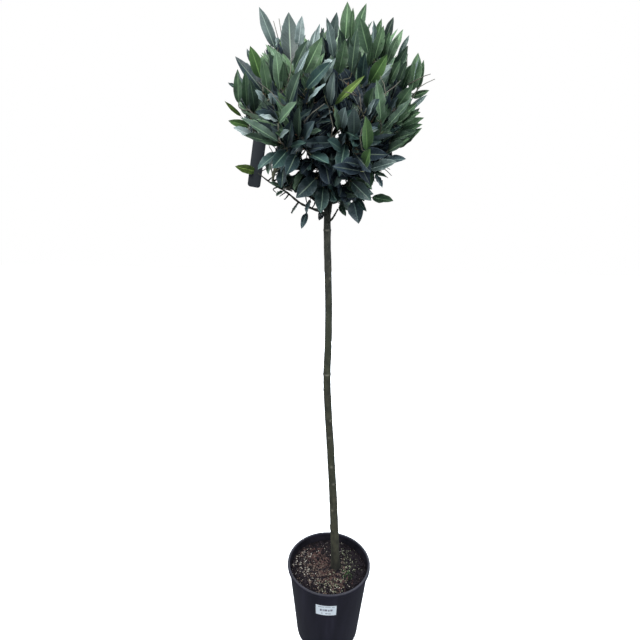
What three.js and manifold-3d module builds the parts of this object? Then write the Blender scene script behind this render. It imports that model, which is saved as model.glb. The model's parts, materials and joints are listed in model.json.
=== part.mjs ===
// A standard bay tree in a round nursery pot: one clear stem with a round, shaggy head of upright leaves.
// Millimetres, +Z up. The origin is the centre of the pot's underside. +X is the viewer's right, -Y faces the viewer.
import * as THREE from 'three';
import { mergeVertices } from 'three/addons/utils/BufferGeometryUtils.js';
import Module from 'manifold-3d';

const wasm = await Module();
wasm.setup();

// Sizes of the pot
const POT_HEIGHT = 275;
const LIP_RADIUS = 135;
const LIP_DEPTH = 11;
const LIP_OVERHANG = 6;
const BASE_RADIUS = 102;
const BASE_CHAMFER = 4;
const WALL = 2.4;
const POT_SIDES = 40;
const DRAIN_HOLES = 8;
const DRAIN_RADIUS = 6;
const DRAIN_RING = 82;

// Sizes of the label stuck on the pot
const LABEL_WIDTH = 64;
const LABEL_HEIGHT = 45;
const LABEL_THICKNESS = 0.5;
const LABEL_MIDDLE = 205;
const LABEL_AZIMUTH = 266;

// Levels of the compost: a level middle round the stem, and a lower edge at the wall
const GROUND = 254;
const GROUND_RADIUS = 48;
const GROUND_EDGE = 247;

// The stem, as stations from the ground to its tip inside the head: height, x and y of its middle, and its radius
const STEM = [
  { z: 254.3, x: 22, y: 0, r: 17.5 },
  { z: 268, x: 21.5, y: 0, r: 14.6 },
  { z: 300, x: 20, y: 0, r: 13.1 },
  { z: 420, x: 14, y: 1, r: 12.4 },
  { z: 552, x: 6, y: 2, r: 11.6 },
  { z: 728, x: -7, y: 1, r: 10.8 },
  { z: 861, x: -17, y: -1, r: 10.2 },
  { z: 945, x: -21, y: -2, r: 9.9 },
  { z: 1032, x: -19, y: -2, r: 9.6 },
  { z: 1163, x: -21, y: 0, r: 9.2 },
  { z: 1326, x: -28, y: 1, r: 8.7 },
  { z: 1440, x: -30, y: 0, r: 7.6 },
  { z: 1545, x: -29, y: -1, r: 6.2 },
  { z: 1648, x: -29, y: 0, r: 3.8 },
];
const STEM_SIDES = 10;
const STEM_STEPS = 24;

// The head: a ball of leaf tips round its centre, grown from a lower point on the stem, so that its leaves turn up
const HEAD_CENTRE = new THREE.Vector3(-29, 0, 1625);
const GROWTH_POINT = new THREE.Vector3(-29, 0, 1545);
const LOWEST_SHOOT = -0.96;
const SHOOTS = 96;
const LOW_CROWDING = 0.88;
const LEAVES_ON_SHOOT = 7;
const SEED = 7;
const SHOOT_PULL = 0.1;
const UPRIGHT = 0.4;
const HANGING = -0.4;
const LOW_LEAVES_BELOW = -0.45;
const GOLDEN_ANGLE = Math.PI * (3 - Math.sqrt(5));

// The masses of foliage. The azimuth and elevation of a mass, seen from the head's centre, give the middle of its part
// of the ball, and reach is the ball's radius there. The mass keeps to the cone nearest its axis, which runs from the
// growth point to that middle. Its bough leaves the stem at the height named fork, and ends at the distance named
// start from the growth point, on the axis or in the direction named door. leaves_top grows on the tip of the stem.
const MASSES = [
  { name: 'leaves_top', azimuth: 30, elevation: 82, reach: 234 },
  { name: 'leaves_upper_right', azimuth: 2, elevation: 45, start: 110, fork: 1576, reach: 264 },
  { name: 'leaves_upper_back_right', azimuth: 62, elevation: 44, start: 106, fork: 1562, reach: 245 },
  { name: 'leaves_upper_back_left', azimuth: 122, elevation: 46, start: 112, fork: 1592, reach: 236 },
  { name: 'leaves_upper_left', azimuth: 182, elevation: 50, start: 112, fork: 1569, reach: 266 },
  { name: 'leaves_upper_front_left', azimuth: 242, elevation: 46, start: 110, fork: 1584, reach: 242 },
  { name: 'leaves_upper_front_right', azimuth: 302, elevation: 44, start: 104, fork: 1555, reach: 244 },
  { name: 'leaves_right', azimuth: 355, elevation: 9, start: 70, fork: 1516, reach: 252 },
  { name: 'leaves_back_right', azimuth: 50, elevation: 0, start: 68, fork: 1495, reach: 242 },
  { name: 'leaves_back_left', azimuth: 115, elevation: 2, start: 70, fork: 1523, reach: 240 },
  { name: 'leaves_left', azimuth: 182, elevation: 15, start: 190, fork: 1502, reach: 250, door: [186, 22] },
  { name: 'leaves_front_left', azimuth: 232, elevation: -2, start: 70, fork: 1530, reach: 240 },
  { name: 'leaves_front_right', azimuth: 292, elevation: -2, start: 68, fork: 1488, reach: 242 },
  { name: 'leaves_low_right', azimuth: 345, elevation: -32, start: 72, fork: 1446, reach: 226 },
  { name: 'leaves_low_back', azimuth: 78, elevation: -36, start: 70, fork: 1460, reach: 228 },
  { name: 'leaves_low_left', azimuth: 194, elevation: -32, start: 148, fork: 1398, reach: 250, door: [188, -33] },
  { name: 'leaves_low_front', azimuth: 262, elevation: -38, start: 68, fork: 1430, reach: 236 },
  { name: 'leaves_under', azimuth: 306, elevation: -74, start: 92, fork: 1377, reach: 258 },
];

// Thickness of the wood in the head
const BOUGH_FOOT = 4.2;
const BOUGH_TIP = 2.9;
const BOUGH_SIDES = 5;
const BOUGH_STEPS = 4;
const TWIG_FOOT = 2.5;
const TWIG_TIP = 1.5;
const MASS_STEM_LENGTH = 26;
const MASS_STEM_SHORTEST = 12;
const SHORTEST_RISE = 10;

// Leaves
const LEAF_LENGTH = 106;
const LOW_LEAF_LENGTH = 80;
const LEAF_SLENDERNESS = 0.38;
const LOW_LEAF_SLENDERNESS = 0.5;
const LEAF_WIDEST = 0.46;
const LEAF_THICKEST = 0.3;
const LEAF_THICKNESS = 2.2;
const LEAF_FOLD = 0.16;
const LEAF_CURL = 0.06;
const LEAF_SHARE = 0.82;
const LEAF_SPACING = 13;
const LEAF_ROOT = 1;
const TIP_TILT = 10;
const TILT_STEP = 9.5;
// Where a leaf doesn't fit, it is tried again with a share of its tilt, a shift of its turn and a share of its length
const TRIES = [
  [1, 0, 1], [1, 0.6, 1], [1, -0.6, 1], [0.7, 0, 1], [0.7, 1.1, 1], [0.7, -1.1, 1], [0.4, 0, 1], [0.4, 1.8, 1],
  [1, 0, 0.78], [1, 1.5, 0.78], [1, -1.5, 0.78], [0.6, 0, 0.78], [0.6, 2.4, 0.78], [0.3, 0, 0.78],
];

// The plant label that hangs from the left bough, seen from the front
const TAG_WIDTH = 32;
const TAG_LENGTH = 154;
const TAG_THICKNESS = 1;
const TAG_CORNER = 7;
const TAG_STRAP_WIDTH = 6;
const TAG_STRAP_LENGTH = 24;
const TAG_SHOULDER = 10;
const TAG_LEAN = 9;
const TAG_FROM_TIP = 14;

// Clearances
const GAP = 0.3;
const LIMB_CLEARANCE = 0.6;
const SPACE_MARGIN = 0.4;

const UP = new THREE.Vector3(0, 0, 1);
const radians = THREE.MathUtils.degToRad;

// Seeded random numbers from 0 to 1
function seeded(seed) {
  let state = seed >>> 0;
  return () => {
    state = (Math.imul(state, 1664525) + 1013904223) >>> 0;
    return state / 4294967296;
  };
}

// A unit direction from azimuth and elevation in degrees
function direction(azimuth, elevation) {
  const a = radians(azimuth);
  const e = radians(elevation);
  return new THREE.Vector3(Math.cos(a) * Math.cos(e), Math.sin(a) * Math.cos(e), Math.sin(e));
}

// Between three.js geometry and manifold-3d solids
function solidFrom(geometry) {
  const bare = new THREE.BufferGeometry();
  bare.setAttribute('position', geometry.attributes.position);
  bare.setIndex(geometry.index);
  const merged = mergeVertices(bare, 1e-3);
  return new wasm.Manifold(new wasm.Mesh({
    numProp: 3,
    vertProperties: merged.attributes.position.array,
    triVerts: new Uint32Array(merged.index.array),
  }));
}

function bareGeometry(solid) {
  const mesh = solid.getMesh();
  const geometry = new THREE.BufferGeometry();
  geometry.setAttribute('position', new THREE.BufferAttribute(new Float32Array(mesh.vertProperties), 3));
  geometry.setIndex(new THREE.BufferAttribute(new Uint32Array(mesh.triVerts), 1));
  return geometry;
}

// A tapering limb along a curve: a cylinder whose rings are set across the curve
function limb(curve, radiusAt, sides, steps) {
  const frames = curve.computeFrenetFrames(steps, false);
  const geometry = new THREE.CylinderGeometry(1, 1, 1, sides, steps);
  const position = geometry.attributes.position;
  const p = new THREE.Vector3();
  for (let i = 0; i < position.count; i += 1) {
    p.fromBufferAttribute(position, i);
    const ring = Math.round((p.y + 0.5) * steps);
    const r = radiusAt(ring / steps);
    const place = curve.getPointAt(ring / steps);
    place.addScaledVector(frames.binormals[ring], p.x * r).addScaledVector(frames.normals[ring], p.z * r);
    position.setXYZ(i, place.x, place.y, place.z);
  }
  return solidFrom(geometry);
}

// A mesh turned round the Z axis from [radius, height] points that start and end on the axis
function turned(outline, sides) {
  const points = outline.map(([r, z]) => new THREE.Vector2(r, z));
  const geometry = new THREE.LatheGeometry(points, sides);
  geometry.rotateX(Math.PI / 2);
  return geometry;
}

// Outer radius of the pot's wall at a height
function wallRadius(z) {
  return BASE_RADIUS + (LIP_RADIUS - LIP_OVERHANG - BASE_RADIUS) * z / (POT_HEIGHT - LIP_DEPTH);
}

function potSolid() {
  const under = POT_HEIGHT - LIP_DEPTH;
  const outline = [
    [0, 0],
    [BASE_RADIUS - BASE_CHAMFER, 0],
    [wallRadius(BASE_CHAMFER), BASE_CHAMFER],
    [wallRadius(under), under],
    [LIP_RADIUS, under + 1.5],
    [LIP_RADIUS, POT_HEIGHT - 2],
    [LIP_RADIUS - 1.6, POT_HEIGHT],
    [wallRadius(POT_HEIGHT) - WALL, POT_HEIGHT],
    [wallRadius(WALL) - WALL, WALL],
    [0, WALL],
  ];
  let pot = solidFrom(turned(outline, POT_SIDES));
  for (let i = 0; i < DRAIN_HOLES; i += 1) {
    const angle = (i + 0.5) / DRAIN_HOLES * 2 * Math.PI;
    const drill = new THREE.CylinderGeometry(DRAIN_RADIUS, DRAIN_RADIUS, 4 * WALL, 8);
    drill.rotateX(Math.PI / 2);
    drill.translate(DRAIN_RING * Math.cos(angle), DRAIN_RING * Math.sin(angle), WALL / 2);
    pot = pot.subtract(solidFrom(drill));
  }
  return pot;
}

function compostSolid() {
  const inside = (z) => wallRadius(z) - WALL - GAP;
  const outline = [
    [0, WALL + GAP],
    [inside(WALL + GAP), WALL + GAP],
    [inside(GROUND_EDGE), GROUND_EDGE],
    [inside(GROUND_EDGE) - 14, GROUND_EDGE + 1],
    [GROUND_RADIUS, GROUND],
    [0, GROUND],
  ];
  return solidFrom(turned(outline, POT_SIDES));
}

// The label is a thin block wrapped on the pot's wall
function labelSolid() {
  const geometry = new THREE.BoxGeometry(LABEL_WIDTH, LABEL_THICKNESS, LABEL_HEIGHT, 10, 1, 1);
  const position = geometry.attributes.position;
  for (let i = 0; i < position.count; i += 1) {
    const z = LABEL_MIDDLE + position.getZ(i);
    const outward = LABEL_THICKNESS / 2 - position.getY(i);
    const radius = wallRadius(z) + GAP + outward;
    const angle = radians(LABEL_AZIMUTH) + position.getX(i) / wallRadius(LABEL_MIDDLE);
    position.setXYZ(i, radius * Math.cos(angle), radius * Math.sin(angle), z);
  }
  return solidFrom(geometry);
}

// The stem, and the same stem grown by a clearance to cut its neighbours with
const stemCurve = new THREE.CatmullRomCurve3(STEM.map((s) => new THREE.Vector3(s.x, s.y, s.z)), false, 'centripetal');

function stemRadius(z) {
  const above = STEM.findIndex((s) => s.z >= z);
  if (above <= 0) return above === 0 ? STEM[0].r : STEM[STEM.length - 1].r;
  const [low, high] = [STEM[above - 1], STEM[above]];
  return THREE.MathUtils.mapLinear(z, low.z, high.z, low.r, high.r);
}

// Rings stand closer together near the ground, where the root flare curves
function stemSolid(extra) {
  const flareRings = [0, 5, 12, 24, 46];
  const geometry = new THREE.CylinderGeometry(1, 1, 1, STEM_SIDES, STEM_STEPS);
  const position = geometry.attributes.position;
  const [foot, tip] = [STEM[0].z, STEM[STEM.length - 1].z];
  for (let i = 0; i < position.count; i += 1) {
    const ring = Math.round((position.getY(i) + 0.5) * STEM_STEPS);
    const flareTop = flareRings.length - 1;
    const z = ring <= flareTop
      ? foot + flareRings[ring]
      : THREE.MathUtils.mapLinear(ring, flareTop, STEM_STEPS, foot + flareRings[flareTop], tip);
    const middle = stemPoint(z);
    const r = stemRadius(z) + extra;
    position.setXYZ(i, middle.x + r * position.getX(i), middle.y - r * position.getZ(i), z);
  }
  return solidFrom(geometry);
}

// The middle of the stem at a height, on the smooth curve through its stations
function stemPoint(z) {
  let [low, high] = [0, 1];
  for (let i = 0; i < 30; i += 1) {
    const t = (low + high) / 2;
    if (stemCurve.getPoint(t).z < z) low = t;
    else high = t;
  }
  return stemCurve.getPoint(high);
}

// Where each mass begins, and the way its bough points there
function placeMass(mass) {
  const middle = direction(mass.azimuth, mass.elevation);
  const span = HEAD_CENTRE.clone().addScaledVector(middle, mass.reach).sub(GROWTH_POINT);
  const axis = span.clone().normalize();
  if (!mass.fork) {
    const tip = STEM[STEM.length - 1];
    const begin = new THREE.Vector3(tip.x, tip.y, tip.z);
    return { ...mass, middle, axis, begin, heading: UP.clone(), stemLength: MASS_STEM_LENGTH };
  }
  const foot = stemPoint(mass.fork);
  const begin = GROWTH_POINT.clone().addScaledVector(mass.door ? direction(...mass.door) : axis, mass.start);
  const way = begin.clone().sub(foot).normalize();
  const heading = way.addScaledVector(axis, 0.6).normalize();
  const room = span.length() - LEAF_SHARE * LEAF_LENGTH - mass.start - 24;
  const stemLength = THREE.MathUtils.clamp(room, MASS_STEM_SHORTEST, MASS_STEM_LENGTH);
  return { ...mass, middle, axis, foot, begin, heading, stemLength };
}

const masses = MASSES.map(placeMass);

function boughCurve(mass) {
  const span = mass.begin.distanceTo(mass.foot);
  const outward = new THREE.Vector3(mass.axis.x, mass.axis.y, 0).normalize().multiplyScalar(0.8).add(UP);
  const leave = mass.foot.clone().addScaledVector(outward.normalize(), span * 0.35);
  const arrive = mass.begin.clone().addScaledVector(mass.heading, -span * 0.35);
  return new THREE.CubicBezierCurve3(mass.foot, leave, arrive, mass.begin);
}

function boughRadius(t) {
  return THREE.MathUtils.lerp(BOUGH_FOOT, BOUGH_TIP, Math.min(1, t * 1.1));
}

// A leaf is a long four-sided double pyramid of eight faces, folded along its middle and curled back at its tip
function leafSolid(leaf) {
  const geometry = new THREE.SphereGeometry(1, 4, 2);
  const position = geometry.attributes.position;
  const side = new THREE.Vector3().crossVectors(leaf.along, leaf.face);
  const place = new THREE.Vector3();
  for (let i = 0; i < position.count; i += 1) {
    const [x, y, z] = [position.getX(i), position.getY(i), position.getZ(i)];
    const share = (x + 1) / 2 - z * z * (0.5 - LEAF_WIDEST) - y * y * (0.5 - LEAF_THICKEST);
    const across = z * leaf.width / 2;
    const lift = LEAF_FOLD * Math.abs(across) - LEAF_CURL * leaf.length * share * share + y * LEAF_THICKNESS / 2;
    place.copy(leaf.base).addScaledVector(leaf.along, share * leaf.length);
    place.addScaledVector(side, across).addScaledVector(leaf.face, lift);
    position.setXYZ(i, place.x, place.y, place.z);
  }
  return solidFrom(geometry);
}

// The shoots' places on the ball, spread evenly, each given to the mass whose axis is nearest
function shootsOf(mass) {
  const found = [];
  for (let k = 0; k < SHOOTS; k += 1) {
    const z = 1 - 2 * ((k + 0.5) / SHOOTS) ** LOW_CROWDING;
    const level = Math.sqrt(1 - z * z);
    const place = new THREE.Vector3(level * Math.cos(k * GOLDEN_ANGLE), level * Math.sin(k * GOLDEN_ANGLE), z);
    const way = wayTo(place, mass.reach);
    const nearest = masses.reduce((best, m) => (m.axis.dot(way) > best.axis.dot(way) ? m : best));
    if (z > LOWEST_SHOOT && nearest === mass) found.push(place.lerp(mass.middle, SHOOT_PULL).normalize());
  }
  return found;
}

// The direction from the growth point to a place on the ball
function wayTo(place, reach) {
  return HEAD_CENTRE.clone().addScaledVector(place, reach).sub(GROWTH_POINT).normalize();
}

// How strongly leaves turn up towards the light at a level of the ball, from 1 at its top: the lowest leaves hang
function uprightness(level) {
  return THREE.MathUtils.clamp(THREE.MathUtils.mapLinear(level, -0.85, -0.1, HANGING, UPRIGHT), HANGING, UPRIGHT);
}

// One shoot: a curved twig from the mass's own stem to a place under the head's surface, with its leaves
function growShoot(mass, place, random) {
  const foot = mass.begin.clone().addScaledVector(mass.heading, mass.stemLength * (0.5 + 0.4 * random()));
  const reach = mass.reach * (0.94 + 0.08 * random());
  const low = place.z < LOW_LEAVES_BELOW;
  const fullLength = low ? LOW_LEAF_LENGTH : LEAF_LENGTH;
  const way = wayTo(place, reach);
  const surface = HEAD_CENTRE.clone().addScaledVector(place, reach).sub(GROWTH_POINT).dot(way);
  const least = foot.clone().sub(GROWTH_POINT).dot(way) + SHORTEST_RISE;
  const tipDistance = Math.max(least, surface - LEAF_SHARE * fullLength);
  const leafLength = Math.min(fullLength, (surface - tipDistance) / LEAF_SHARE);
  const tip = GROWTH_POINT.clone().addScaledVector(way, tipDistance);
  const upright = uprightness(place.z);
  const end = way.clone().addScaledVector(UP, upright).normalize();
  const span = tip.distanceTo(foot);
  const start = mass.heading.clone().addScaledVector(way, 0.5 + 0.5 * random()).normalize();
  const leave = foot.clone().addScaledVector(start, span * 0.3);
  const arrive = tip.clone().addScaledVector(end, -span * 0.3);
  const curve = new THREE.CubicBezierCurve3(foot, leave, arrive, tip);
  const turn = random() * 2 * Math.PI;
  const leaves = [];
  for (let k = 0; k < LEAVES_ON_SHOOT; k += 1) {
    const back = Math.min(0.85, k * LEAF_SPACING / span);
    leaves.push({
      t: 1 - back,
      turn: turn + k * GOLDEN_ANGLE,
      tilt: radians(TIP_TILT + k * TILT_STEP + 8 * random()),
      length: leafLength * (0.8 + 0.28 * random()),
      upright: upright * 0.6,
      slenderness: low ? LOW_LEAF_SLENDERNESS : LEAF_SLENDERNESS,
    });
  }
  return { curve, leaves, foot: TWIG_FOOT * (0.85 + 0.25 * random()) };
}

// A leaf's place on its twig and the way it points, at one of the tries
function placeLeaf(curve, leaf, [share, shift, size]) {
  const axis = curve.getTangentAt(leaf.t);
  const across = new THREE.Vector3().crossVectors(axis, UP).normalize();
  const around = new THREE.Vector3().crossVectors(axis, across);
  const turn = leaf.turn + shift;
  const outward = across.multiplyScalar(Math.cos(turn)).addScaledVector(around, Math.sin(turn));
  const tilt = leaf.tilt * share;
  const along = axis.clone().multiplyScalar(Math.cos(tilt)).addScaledVector(outward, Math.sin(tilt));
  along.addScaledVector(UP, leaf.upright * (1 + outward.z) / 2).normalize();
  const face = axis.clone().multiplyScalar(Math.sin(tilt)).addScaledVector(outward, -Math.cos(tilt));
  face.addScaledVector(along, -face.dot(along)).normalize();
  const base = curve.getPointAt(leaf.t).addScaledVector(along, -LEAF_ROOT);
  const length = leaf.length * size;
  return { base, along, face, length, width: length * leaf.slenderness };
}

// True where every corner of a solid is nearer this mass's axis than any other's
function keepsToSpace(solid, mass) {
  const { vertProperties } = solid.getMesh();
  const p = new THREE.Vector3();
  for (let i = 0; i < vertProperties.length; i += 3) {
    p.fromArray(vertProperties, i).sub(GROWTH_POINT);
    for (const other of masses) {
      if (other === mass) continue;
      const between = mass.axis.clone().sub(other.axis).normalize();
      if (p.dot(between) < SPACE_MARGIN) return false;
    }
  }
  return true;
}

function meets(a, b) {
  const [boxA, boxB] = [a.boundingBox(), b.boundingBox()];
  const apart = [0, 1, 2].some((i) => boxA.min[i] > boxB.max[i] || boxB.min[i] > boxA.max[i]);
  return !apart && !a.intersect(b).isEmpty();
}

// The largest body of a solid, without its loose scraps
function wholeBody(solid) {
  const bodies = solid.decompose();
  return bodies.reduce((best, b) => (b.volume() > best.volume() ? b : best));
}

// A body with one more piece fused on, or null where that would leave a scrap, a sealed hollow or a pinched edge
function fused(body, piece) {
  const joined = body.add(piece).simplify(0.01);
  const merged = mergeVertices(bareGeometry(joined), 1e-3);
  const isClean = joined.decompose().length === 1 && merged.attributes.position.count === joined.numVert();
  return isClean ? joined : null;
}

// One mass: its stem, its twigs and the leaves that keep clear of the limbs and of each other
function massSolid(mass, obstacles, seed) {
  const random = seeded(seed);
  const from = mass.begin.clone().addScaledVector(mass.heading, GAP);
  const stem = new THREE.LineCurve3(from, mass.begin.clone().addScaledVector(mass.heading, mass.stemLength));
  let body = limb(stem, () => TWIG_FOOT + 0.3, 3, 1);
  const kept = [];
  for (const place of shootsOf(mass)) {
    const shoot = growShoot(mass, place, random);
    const twig = limb(shoot.curve, (t) => THREE.MathUtils.lerp(shoot.foot, TWIG_TIP, t), 3, 2);
    if (!keepsToSpace(twig, mass) || obstacles.some((o) => meets(o, twig))) continue;
    const branched = fused(body, twig);
    if (!branched) continue;
    body = branched;
    for (const leaf of shoot.leaves) {
      for (const attempt of TRIES) {
        const solid = leafSolid(placeLeaf(shoot.curve, leaf, attempt));
        const clear = keepsToSpace(solid, mass) && ![...obstacles, ...kept].some((o) => meets(o, solid));
        const leafed = clear ? fused(body, solid) : null;
        if (!leafed) continue;
        body = leafed;
        kept.push(solid);
        break;
      }
    }
  }
  return { solid: body, leaves: kept.length };
}

// The hanging plant label: a strip with round lower corners, and a strap that loops over the left bough
function tagSolid(extra) {
  const bough = boughCurve(masses.find((m) => m.name === 'leaves_left'));
  const [before, tip] = [bough.getPointAt(1 - 1 / BOUGH_STEPS), bough.getPointAt(1)];
  const along = tip.clone().sub(before).normalize();
  const hook = tip.clone().addScaledVector(along, -TAG_FROM_TIP);
  const inner = BOUGH_TIP + 2 * GAP;
  const outer = inner + TAG_THICKNESS + extra;
  const half = TAG_WIDTH / 2 + extra;
  const strap = TAG_STRAP_WIDTH / 2 + extra;
  const low = -TAG_LENGTH - extra;
  const strip = new THREE.Shape();
  strip.moveTo(strap, -inner);
  strip.lineTo(strap, -TAG_STRAP_LENGTH + extra);
  strip.lineTo(half, -TAG_STRAP_LENGTH - TAG_SHOULDER + extra);
  strip.lineTo(half, low + TAG_CORNER);
  strip.quadraticCurveTo(half, low, half - TAG_CORNER, low);
  strip.lineTo(-half + TAG_CORNER, low);
  strip.quadraticCurveTo(-half, low, -half, low + TAG_CORNER);
  strip.lineTo(-half, -TAG_STRAP_LENGTH - TAG_SHOULDER + extra);
  strip.lineTo(-strap, -TAG_STRAP_LENGTH + extra);
  strip.lineTo(-strap, -inner);
  const thick = TAG_THICKNESS + 2 * extra;
  const plate = new THREE.ExtrudeGeometry(strip, { depth: thick, bevelEnabled: false, curveSegments: 3 });
  plate.translate(0, 0, -thick / 2);
  plate.rotateX(Math.PI / 2);
  plate.rotateY(radians(TAG_LEAN));
  plate.translate(hook.x, hook.y, hook.z);
  const width = 2 * strap;
  const facing = new THREE.Quaternion().setFromUnitVectors(new THREE.Vector3(0, 1, 0), along);
  const ring = (radius) => {
    const drum = new THREE.CylinderGeometry(radius, radius, radius === outer ? width : 3 * width, 12);
    return solidFrom(drum.applyQuaternion(facing).translate(hook.x, hook.y, hook.z));
  };
  const loop = ring(outer);
  return extra > 0 ? loop.add(solidFrom(plate)) : loop.add(solidFrom(plate)).subtract(ring(inner));
}

// Colours and roughness
const BLACK_PLASTIC = { color: 0x25252c, roughness: 0.5 };
const PAPER_WHITE = { color: 0xd6dae4, roughness: 0.6 };
const COMPOST = { color: 0x4a4038, roughness: 0.95 };
const BARK = { color: 0x434438, roughness: 0.8 };
const LEAF_GREENS = [
  { color: 0x2f5428, roughness: 0.4 },
  { color: 0x3b6a30, roughness: 0.4 },
  { color: 0x27463a, roughness: 0.35 },
];
const TAG_BLACK = { color: 0x23252e, roughness: 0.4 };

const part = new THREE.Group();

function addNode(name, solid, look) {
  const geometry = bareGeometry(solid);
  geometry.computeVertexNormals();
  const mesh = new THREE.Mesh(geometry, new THREE.MeshStandardMaterial({ ...look, metalness: 0 }));
  mesh.name = name;
  part.add(mesh);
}

const fatStem = stemSolid(GAP);
const boughs = masses.filter((m) => m.fork).map((mass) => ({
  name: mass.name.replace('leaves', 'bough'),
  solid: wholeBody(limb(boughCurve(mass), boughRadius, BOUGH_SIDES, BOUGH_STEPS).subtract(fatStem)),
  fat: limb(boughCurve(mass), (t) => boughRadius(t) + LIMB_CLEARANCE, BOUGH_SIDES, BOUGH_STEPS),
  mass,
}));

addNode('pot', potSolid(), BLACK_PLASTIC);
addNode('pot_label', labelSolid(), PAPER_WHITE);
addNode('compost', compostSolid(), COMPOST);
addNode('trunk', stemSolid(0), BARK);
boughs.forEach((bough) => addNode(bough.name, bough.solid, BARK));
addNode('plant_tag', tagSolid(0), TAG_BLACK);

// A mass keeps clear of the stem, the tag and every bough, apart from the tip of its own
const stemKeepOut = stemSolid(LIMB_CLEARANCE);
const tagKeepOut = tagSolid(LIMB_CLEARANCE);
let leafCount = 0;
masses.forEach((mass, i) => {
  const others = boughs.filter((b) => b.mass !== mass).map((b) => b.fat);
  const own = boughs.filter((b) => b.mass === mass).map((b) => b.solid);
  const grown = massSolid(mass, [stemKeepOut, tagKeepOut, ...others, ...own], SEED * MASSES.length + i);
  leafCount += grown.leaves;
  addNode(mass.name, grown.solid, LEAF_GREENS[i % LEAF_GREENS.length]);
});
part.userData.leaves = leafCount;

export default part;
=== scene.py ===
# A standard bay tree in its nursery pot, dressed for a close view.
# Metres, +Z up. The origin is the centre of the pot's underside. +X is the viewer's right and -Y faces the
# viewer. Values given as picture pixels count from the picture's upper left corner.
import json
import math
import random
from collections import namedtuple

import bpy
import numpy as np
from mathutils import Matrix, Vector, noise

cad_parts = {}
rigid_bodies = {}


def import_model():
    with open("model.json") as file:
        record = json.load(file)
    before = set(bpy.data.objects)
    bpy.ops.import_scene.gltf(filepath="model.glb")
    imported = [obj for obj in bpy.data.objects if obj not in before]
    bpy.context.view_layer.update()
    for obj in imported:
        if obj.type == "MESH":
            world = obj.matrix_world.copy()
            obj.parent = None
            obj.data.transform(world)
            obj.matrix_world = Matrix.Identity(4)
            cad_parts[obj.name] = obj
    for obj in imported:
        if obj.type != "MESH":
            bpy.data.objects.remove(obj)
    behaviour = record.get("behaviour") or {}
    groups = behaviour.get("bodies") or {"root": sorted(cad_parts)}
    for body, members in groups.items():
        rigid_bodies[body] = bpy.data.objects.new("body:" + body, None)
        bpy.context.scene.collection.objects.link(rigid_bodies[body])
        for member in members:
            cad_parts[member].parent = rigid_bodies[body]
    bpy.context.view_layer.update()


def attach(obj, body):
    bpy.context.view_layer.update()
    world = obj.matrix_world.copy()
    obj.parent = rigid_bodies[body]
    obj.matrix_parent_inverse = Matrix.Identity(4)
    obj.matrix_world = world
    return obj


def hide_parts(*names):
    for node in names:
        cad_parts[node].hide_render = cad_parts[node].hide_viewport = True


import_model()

UP = np.array((0.0, 0.0, 1.0))
TURN = 2 * math.pi
GOLDEN_ANGLE = math.pi * (3 - math.sqrt(5))

# The camera, which stands at eye height and looks down a little
IMAGE = 640
SENSOR = 36.0
LENS = 27.04
FOCAL_PIXELS = LENS / SENSOR * IMAGE
CAMERA_PLACE = np.array((-0.0434, -1.2683, 1.504))
CAMERA_DOWN = math.radians(17.453)
CAMERA_ROLL = math.radians(1.046)
AHEAD = np.array((0.0, math.cos(CAMERA_DOWN), -math.sin(CAMERA_DOWN)))
LEVEL_UP = np.array((0.0, math.sin(CAMERA_DOWN), math.cos(CAMERA_DOWN)))
LEVEL_RIGHT = np.array((1.0, 0.0, 0.0))
RIGHT = LEVEL_RIGHT * math.cos(CAMERA_ROLL) + LEVEL_UP * math.sin(CAMERA_ROLL)
UPWARD = LEVEL_UP * math.cos(CAMERA_ROLL) - LEVEL_RIGHT * math.sin(CAMERA_ROLL)

# The pot
POT_HEIGHT = 0.275
LIP_RADIUS = 0.135
LIP_DEPTH = 0.011
LIP_OVERHANG = 0.006
LIP_BEAD = 0.0022
LIP_EDGE = 0.0012
BASE_RADIUS = 0.102
BASE_CHAMFER = 0.004
WALL = 0.0024
DRAIN_HOLES = 8
DRAIN_RADIUS = 0.006
DRAIN_RING = 0.082
POT_SIDES = 144

# The label stuck on the pot
LABEL_WIDTH = 0.064
LABEL_HEIGHT = 0.041
LABEL_THICKNESS = 0.0005
LABEL_MIDDLE = 0.205
LABEL_AZIMUTH = math.radians(266)
LABEL_GAP = 0.0003
BAR_THICKNESS = 0.00012
# Its plain grey bars: left, right, lower and upper side, from the label's lower left corner
LABEL_BARS = (
    (0.007, 0.026, 0.0345, 0.0365), (0.030, 0.046, 0.0350, 0.0365), (0.050, 0.058, 0.0345, 0.0365),
    (0.013, 0.019, 0.0170, 0.0265), (0.0215, 0.025, 0.0170, 0.0265), (0.027, 0.036, 0.0180, 0.0265),
    (0.0385, 0.043, 0.0170, 0.0255), (0.045, 0.052, 0.0185, 0.0265), (0.017, 0.021, 0.0060, 0.0095),
    (0.030, 0.037, 0.0055, 0.0090), (0.039, 0.047, 0.0055, 0.0085),
)

# The compost: its level at the stem, how far out that goes, its level at the wall, and the litter's reach
GROUND = 0.254
GROUND_RADIUS = 0.048
GROUND_EDGE = 0.247
LITTER_RADIUS = 0.122

# The stem, from the ground to its tip inside the head: height, x and y of its middle, and its radius
STEM = np.array((
    (0.2543, 0.0220, 0.000, 0.0158),
    (0.2680, 0.0215, 0.000, 0.0141),
    (0.3000, 0.0200, 0.000, 0.0131),
    (0.4200, 0.0140, 0.001, 0.0124),
    (0.5520, 0.0060, 0.002, 0.0116),
    (0.7280, -0.0070, 0.001, 0.0108),
    (0.8610, -0.0170, -0.001, 0.0102),
    (0.9450, -0.0210, -0.002, 0.0099),
    (1.0320, -0.0190, -0.002, 0.0096),
    (1.1630, -0.0210, 0.000, 0.0092),
    (1.3260, -0.0280, 0.001, 0.0087),
    (1.4400, -0.0300, 0.000, 0.0076),
    (1.5450, -0.0290, -0.001, 0.0062),
    (1.6480, -0.0290, 0.000, 0.0038),
))

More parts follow.
